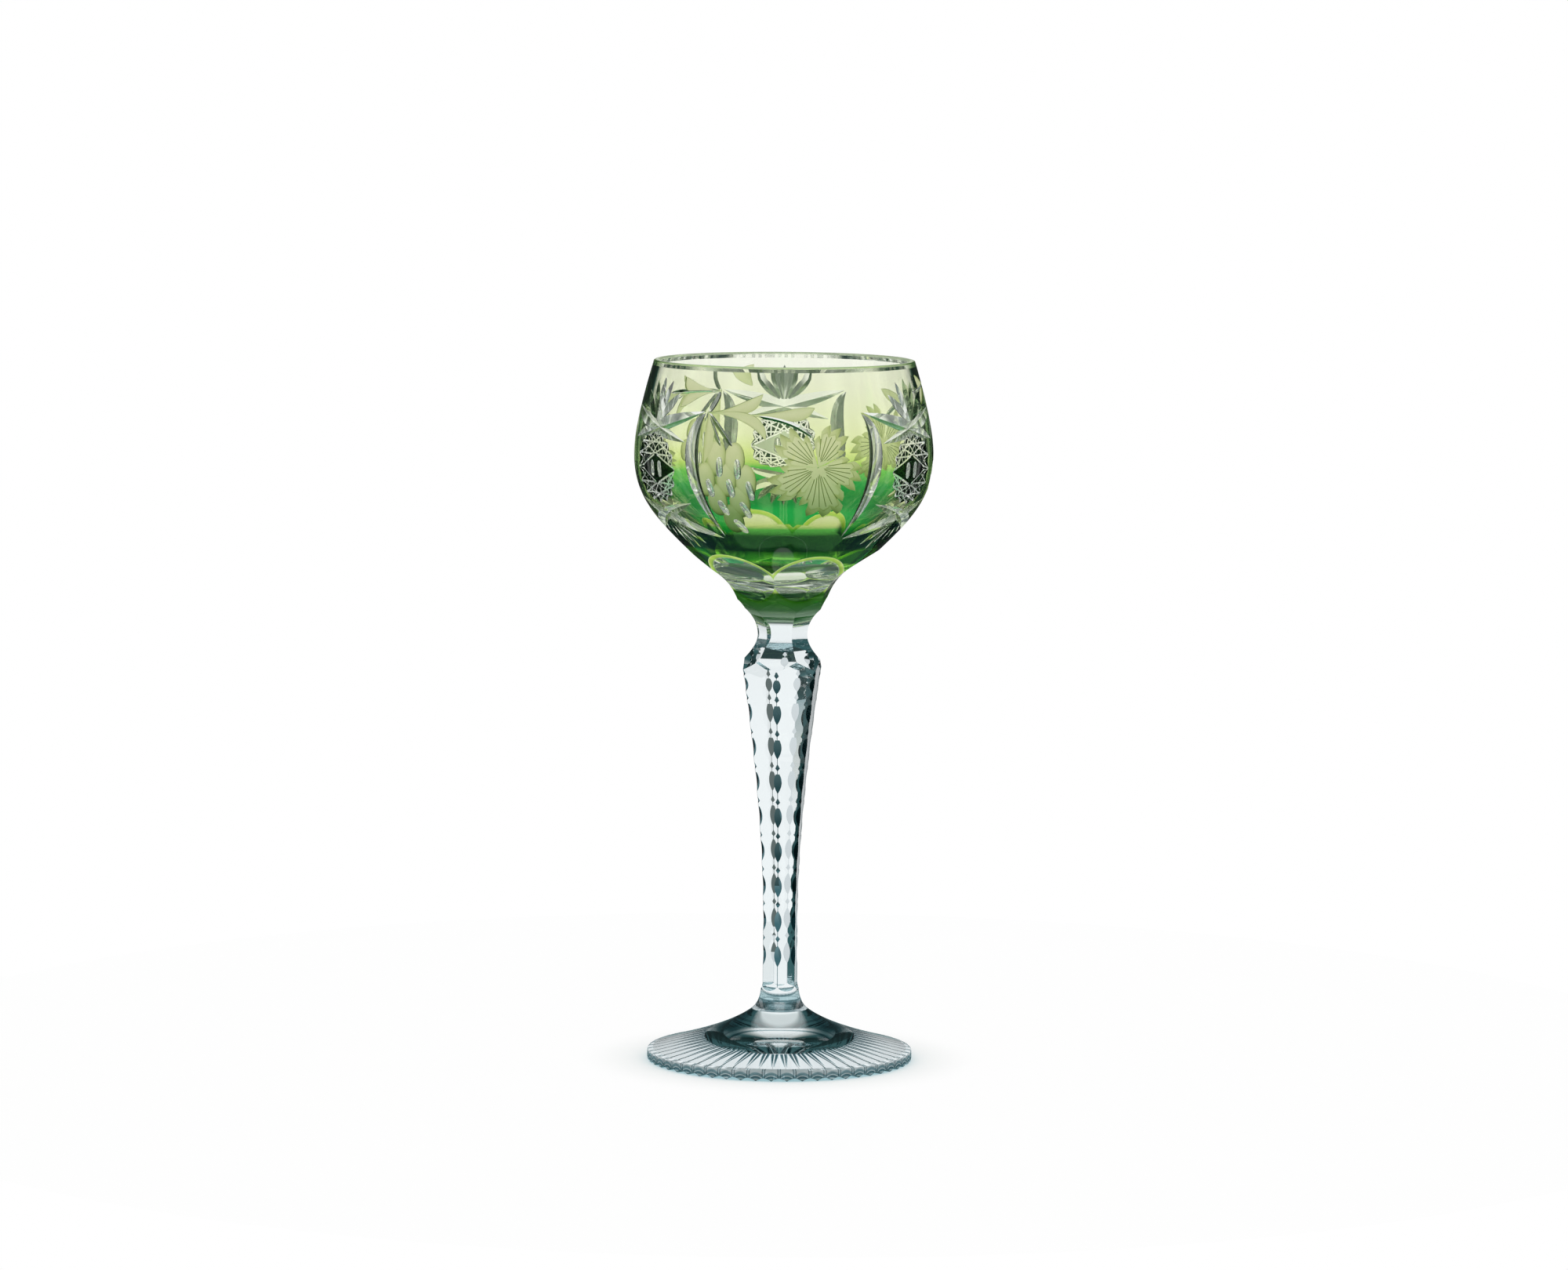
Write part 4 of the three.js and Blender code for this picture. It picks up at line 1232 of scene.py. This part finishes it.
# Surroundings: a ring of screens by the turn from each, and the room by height
PALE = (0.62, 0.64, 0.62)
GREY = (0.12, 0.15, 0.14)
SHADED = (0.03, 0.055, 0.055)
TEAL = (0.045, 0.12, 0.125)
DEEP = (0.01, 0.03, 0.03)
GLOSS = (0.03, 0.035, 0.035)
SCREEN_COUNT = 8
SCREEN_TURN = 22.5
SCREEN_STOPS = [(0.0, SHADED), (0.24, SHADED), (0.32, GREY), (0.4, PALE), (0.5, WHITE)]
OVERHEAD_STOPS = [(0.0, WHITE), (0.35, WHITE), (0.5, PALE), (0.62, GREY), (0.8, (0.03, 0.05, 0.045))]
PANEL_STOPS = [(0.0, DEEP), (0.36, DEEP), (0.5, TEAL), (0.62, PALE), (0.7, WHITE)]
ROOM_STOPS = [(0.0, WHITE), (0.3, WHITE), (0.55, PALE), (0.75, (0.2, 0.32, 0.36)), (0.93, TEAL),
              (0.97, WHITE)]
GLOSS_STOPS = [(0.0, GLOSS), (0.8, GLOSS), (1.0, PALE)]

FLOOR_RADIUS = 280.0
FLOOR_DROP = 0.05
SHADOW_REACH = (36.0, 60.0)
FLOOR_GLOW = 0.92

# The photograph's view: heights and distance in metres, and a lens for a frame 36 mm wide
FRAME_WIDTH = 36
CAMERA_DISTANCE = 1.740
CAMERA_HEIGHT = 0.3139
CAMERA_PITCH = 6.165
CAMERA_LENS = 136.75
CAMERA_ROLL = 0.44
CAMERA_SIDE = 0.00045


def make_world():
    """A pale studio as glass shows it: white all round with dark screens, and darker overhead. Mirrored
    light sees a dark room with tall white panels. The camera and matte surfaces get plain white."""
    world = bpy.data.worlds.new("studio")
    world.use_nodes = True
    bpy.context.scene.world = world
    shader = Shader(world.node_tree)
    axes = shader.axes("Generated")
    turn = shader.math("ARCTAN2", axes["Y"], axes["X"])
    start = 0.5 - SCREEN_TURN * SCREEN_COUNT / 360 + SCREEN_COUNT
    share = shader.math("MULTIPLY_ADD", turn, SCREEN_COUNT / (2 * math.pi), start)
    from_screen = shader.math("ABSOLUTE", shader.math("SUBTRACT", shader.math("FRACT", share), 0.5))
    from_screen = shader.math("MULTIPLY", from_screen, 2.0)
    through = shader.times(shader.ramp(from_screen, SCREEN_STOPS), shader.ramp(axes["Z"], OVERHEAD_STOPS))
    in_mirror = shader.times(shader.ramp(from_screen, PANEL_STOPS), shader.ramp(axes["Z"], ROOM_STOPS))
    studio = shader.mix_colour(mirrored(shader), through, in_mirror)
    path = shader.add("LightPath").outputs
    inside = shader.math("MINIMUM", path["Transmission Depth"], 1.0)
    studio = shader.mix_colour(inside, shader.ramp(from_screen, GLOSS_STOPS, "EASE"), studio)
    studio = shader.mix_colour(path["Is Diffuse Ray"], studio, WHITE)
    studio = shader.mix_colour(path["Is Camera Ray"], studio, WHITE)
    shader.add("OutputWorld", Surface=shader.add("Background", Color=studio).outputs[0])


def floor_paint():
    """White that takes a shadow near the glass, and is plain white further out and where glass shows it."""
    made, shader = material("floor_white")
    place = shader.add("TexCoord").outputs["Object"]
    distance = shader.add("VectorMath", {"operation": "LENGTH"}, Vector=place).outputs["Value"]
    low, high = SHADOW_REACH
    away = shader.add("MapRange", {"interpolation_type": "SMOOTHSTEP"}, Value=distance, From_Min=low * MM,
                      From_Max=high * MM, To_Max=FLOOR_GLOW).outputs["Result"]
    path = shader.add("LightPath").outputs
    in_glass = shader.math("ADD", path["Is Glossy Ray"], path["Is Transmission Ray"])
    share = shader.math("MAXIMUM", shader.math("MINIMUM", in_glass, 1.0), away)
    glow = shader.add("Emission", Color=shader.mix_colour(mirrored(shader), WHITE, TEAL), Strength=1.0)
    shader.add("OutputMaterial", Surface=shader.mix_shader(share, shader.diffuse(WHITE), glow.outputs[0]))
    return made


def make_floor():
    turns = np.arange(96) * 2 * math.pi / 96
    rim = [(FLOOR_RADIUS * math.cos(turn), FLOOR_RADIUS * math.sin(turn), -FLOOR_DROP) for turn in turns]
    floor = solid("floor", rim, [list(range(len(rim)))], 0)
    floor.data.materials.append(floor_paint())
    bpy.context.scene.collection.objects.link(floor)


def make_camera():
    camera = bpy.data.cameras.new("camera")
    camera.lens = CAMERA_LENS
    camera.sensor_width = FRAME_WIDTH
    camera.sensor_fit = "HORIZONTAL"
    holder = bpy.data.objects.new("camera", camera)
    holder.location = (CAMERA_SIDE, -CAMERA_DISTANCE, CAMERA_HEIGHT)
    holder.rotation_mode = "QUATERNION"
    look = Euler((math.radians(90 - CAMERA_PITCH), 0, 0)).to_quaternion()
    holder.rotation_quaternion = look @ Quaternion((0, 0, 1), math.radians(CAMERA_ROLL))
    bpy.context.scene.collection.objects.link(holder)
    bpy.context.scene.camera = holder


def place(piece, slot, *nodes):
    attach(piece, "root")
    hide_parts(*nodes)


# The whole scene
SHARP_ANGLE = 9.0
BOUNCES = 24
GLOSSY_BOUNCES = 12
CLEAR_BOUNCES = 48

fused_glass = fused_face()
bowl_materials = [green_skin(), fused_glass, cut_facets(), engraved(), inner_glass(), base_facets()]
stem_materials = [clear_crystal(), fused_glass, notched_crystal()]
foot_materials = [foot_crystal(), fused_glass, fluted_underside(), foot_edge()]

make_camera()

cuts = bowl_cutters()
for panel in range(VINE_COUNT):
    cuts += vine(panel * 360 / VINE_COUNT)
casing_piece = make_casing(cuts, bowl_materials)
crystal_piece = make_crystal(cuts + neck_cutters(BASE), bowl_materials)
stem_piece = make_stem(stem_materials)
foot_piece = make_foot(foot_materials)
for piece in (casing_piece, crystal_piece, stem_piece, foot_piece):
    finish_surface(piece, SHARP_ANGLE)

place(casing_piece, "green_glass", "green_casing")
place(crystal_piece, "clear_crystal", "bowl_crystal")
place(stem_piece, "clear_crystal", "stem")
place(foot_piece, "clear_crystal", "foot")

make_world()
make_floor()

scene = bpy.context.scene
scene.view_settings.view_transform = "Standard"
scene.cycles.max_bounces = BOUNCES
scene.cycles.transmission_bounces = BOUNCES
scene.cycles.glossy_bounces = GLOSSY_BOUNCES
scene.cycles.transparent_max_bounces = CLEAR_BOUNCES
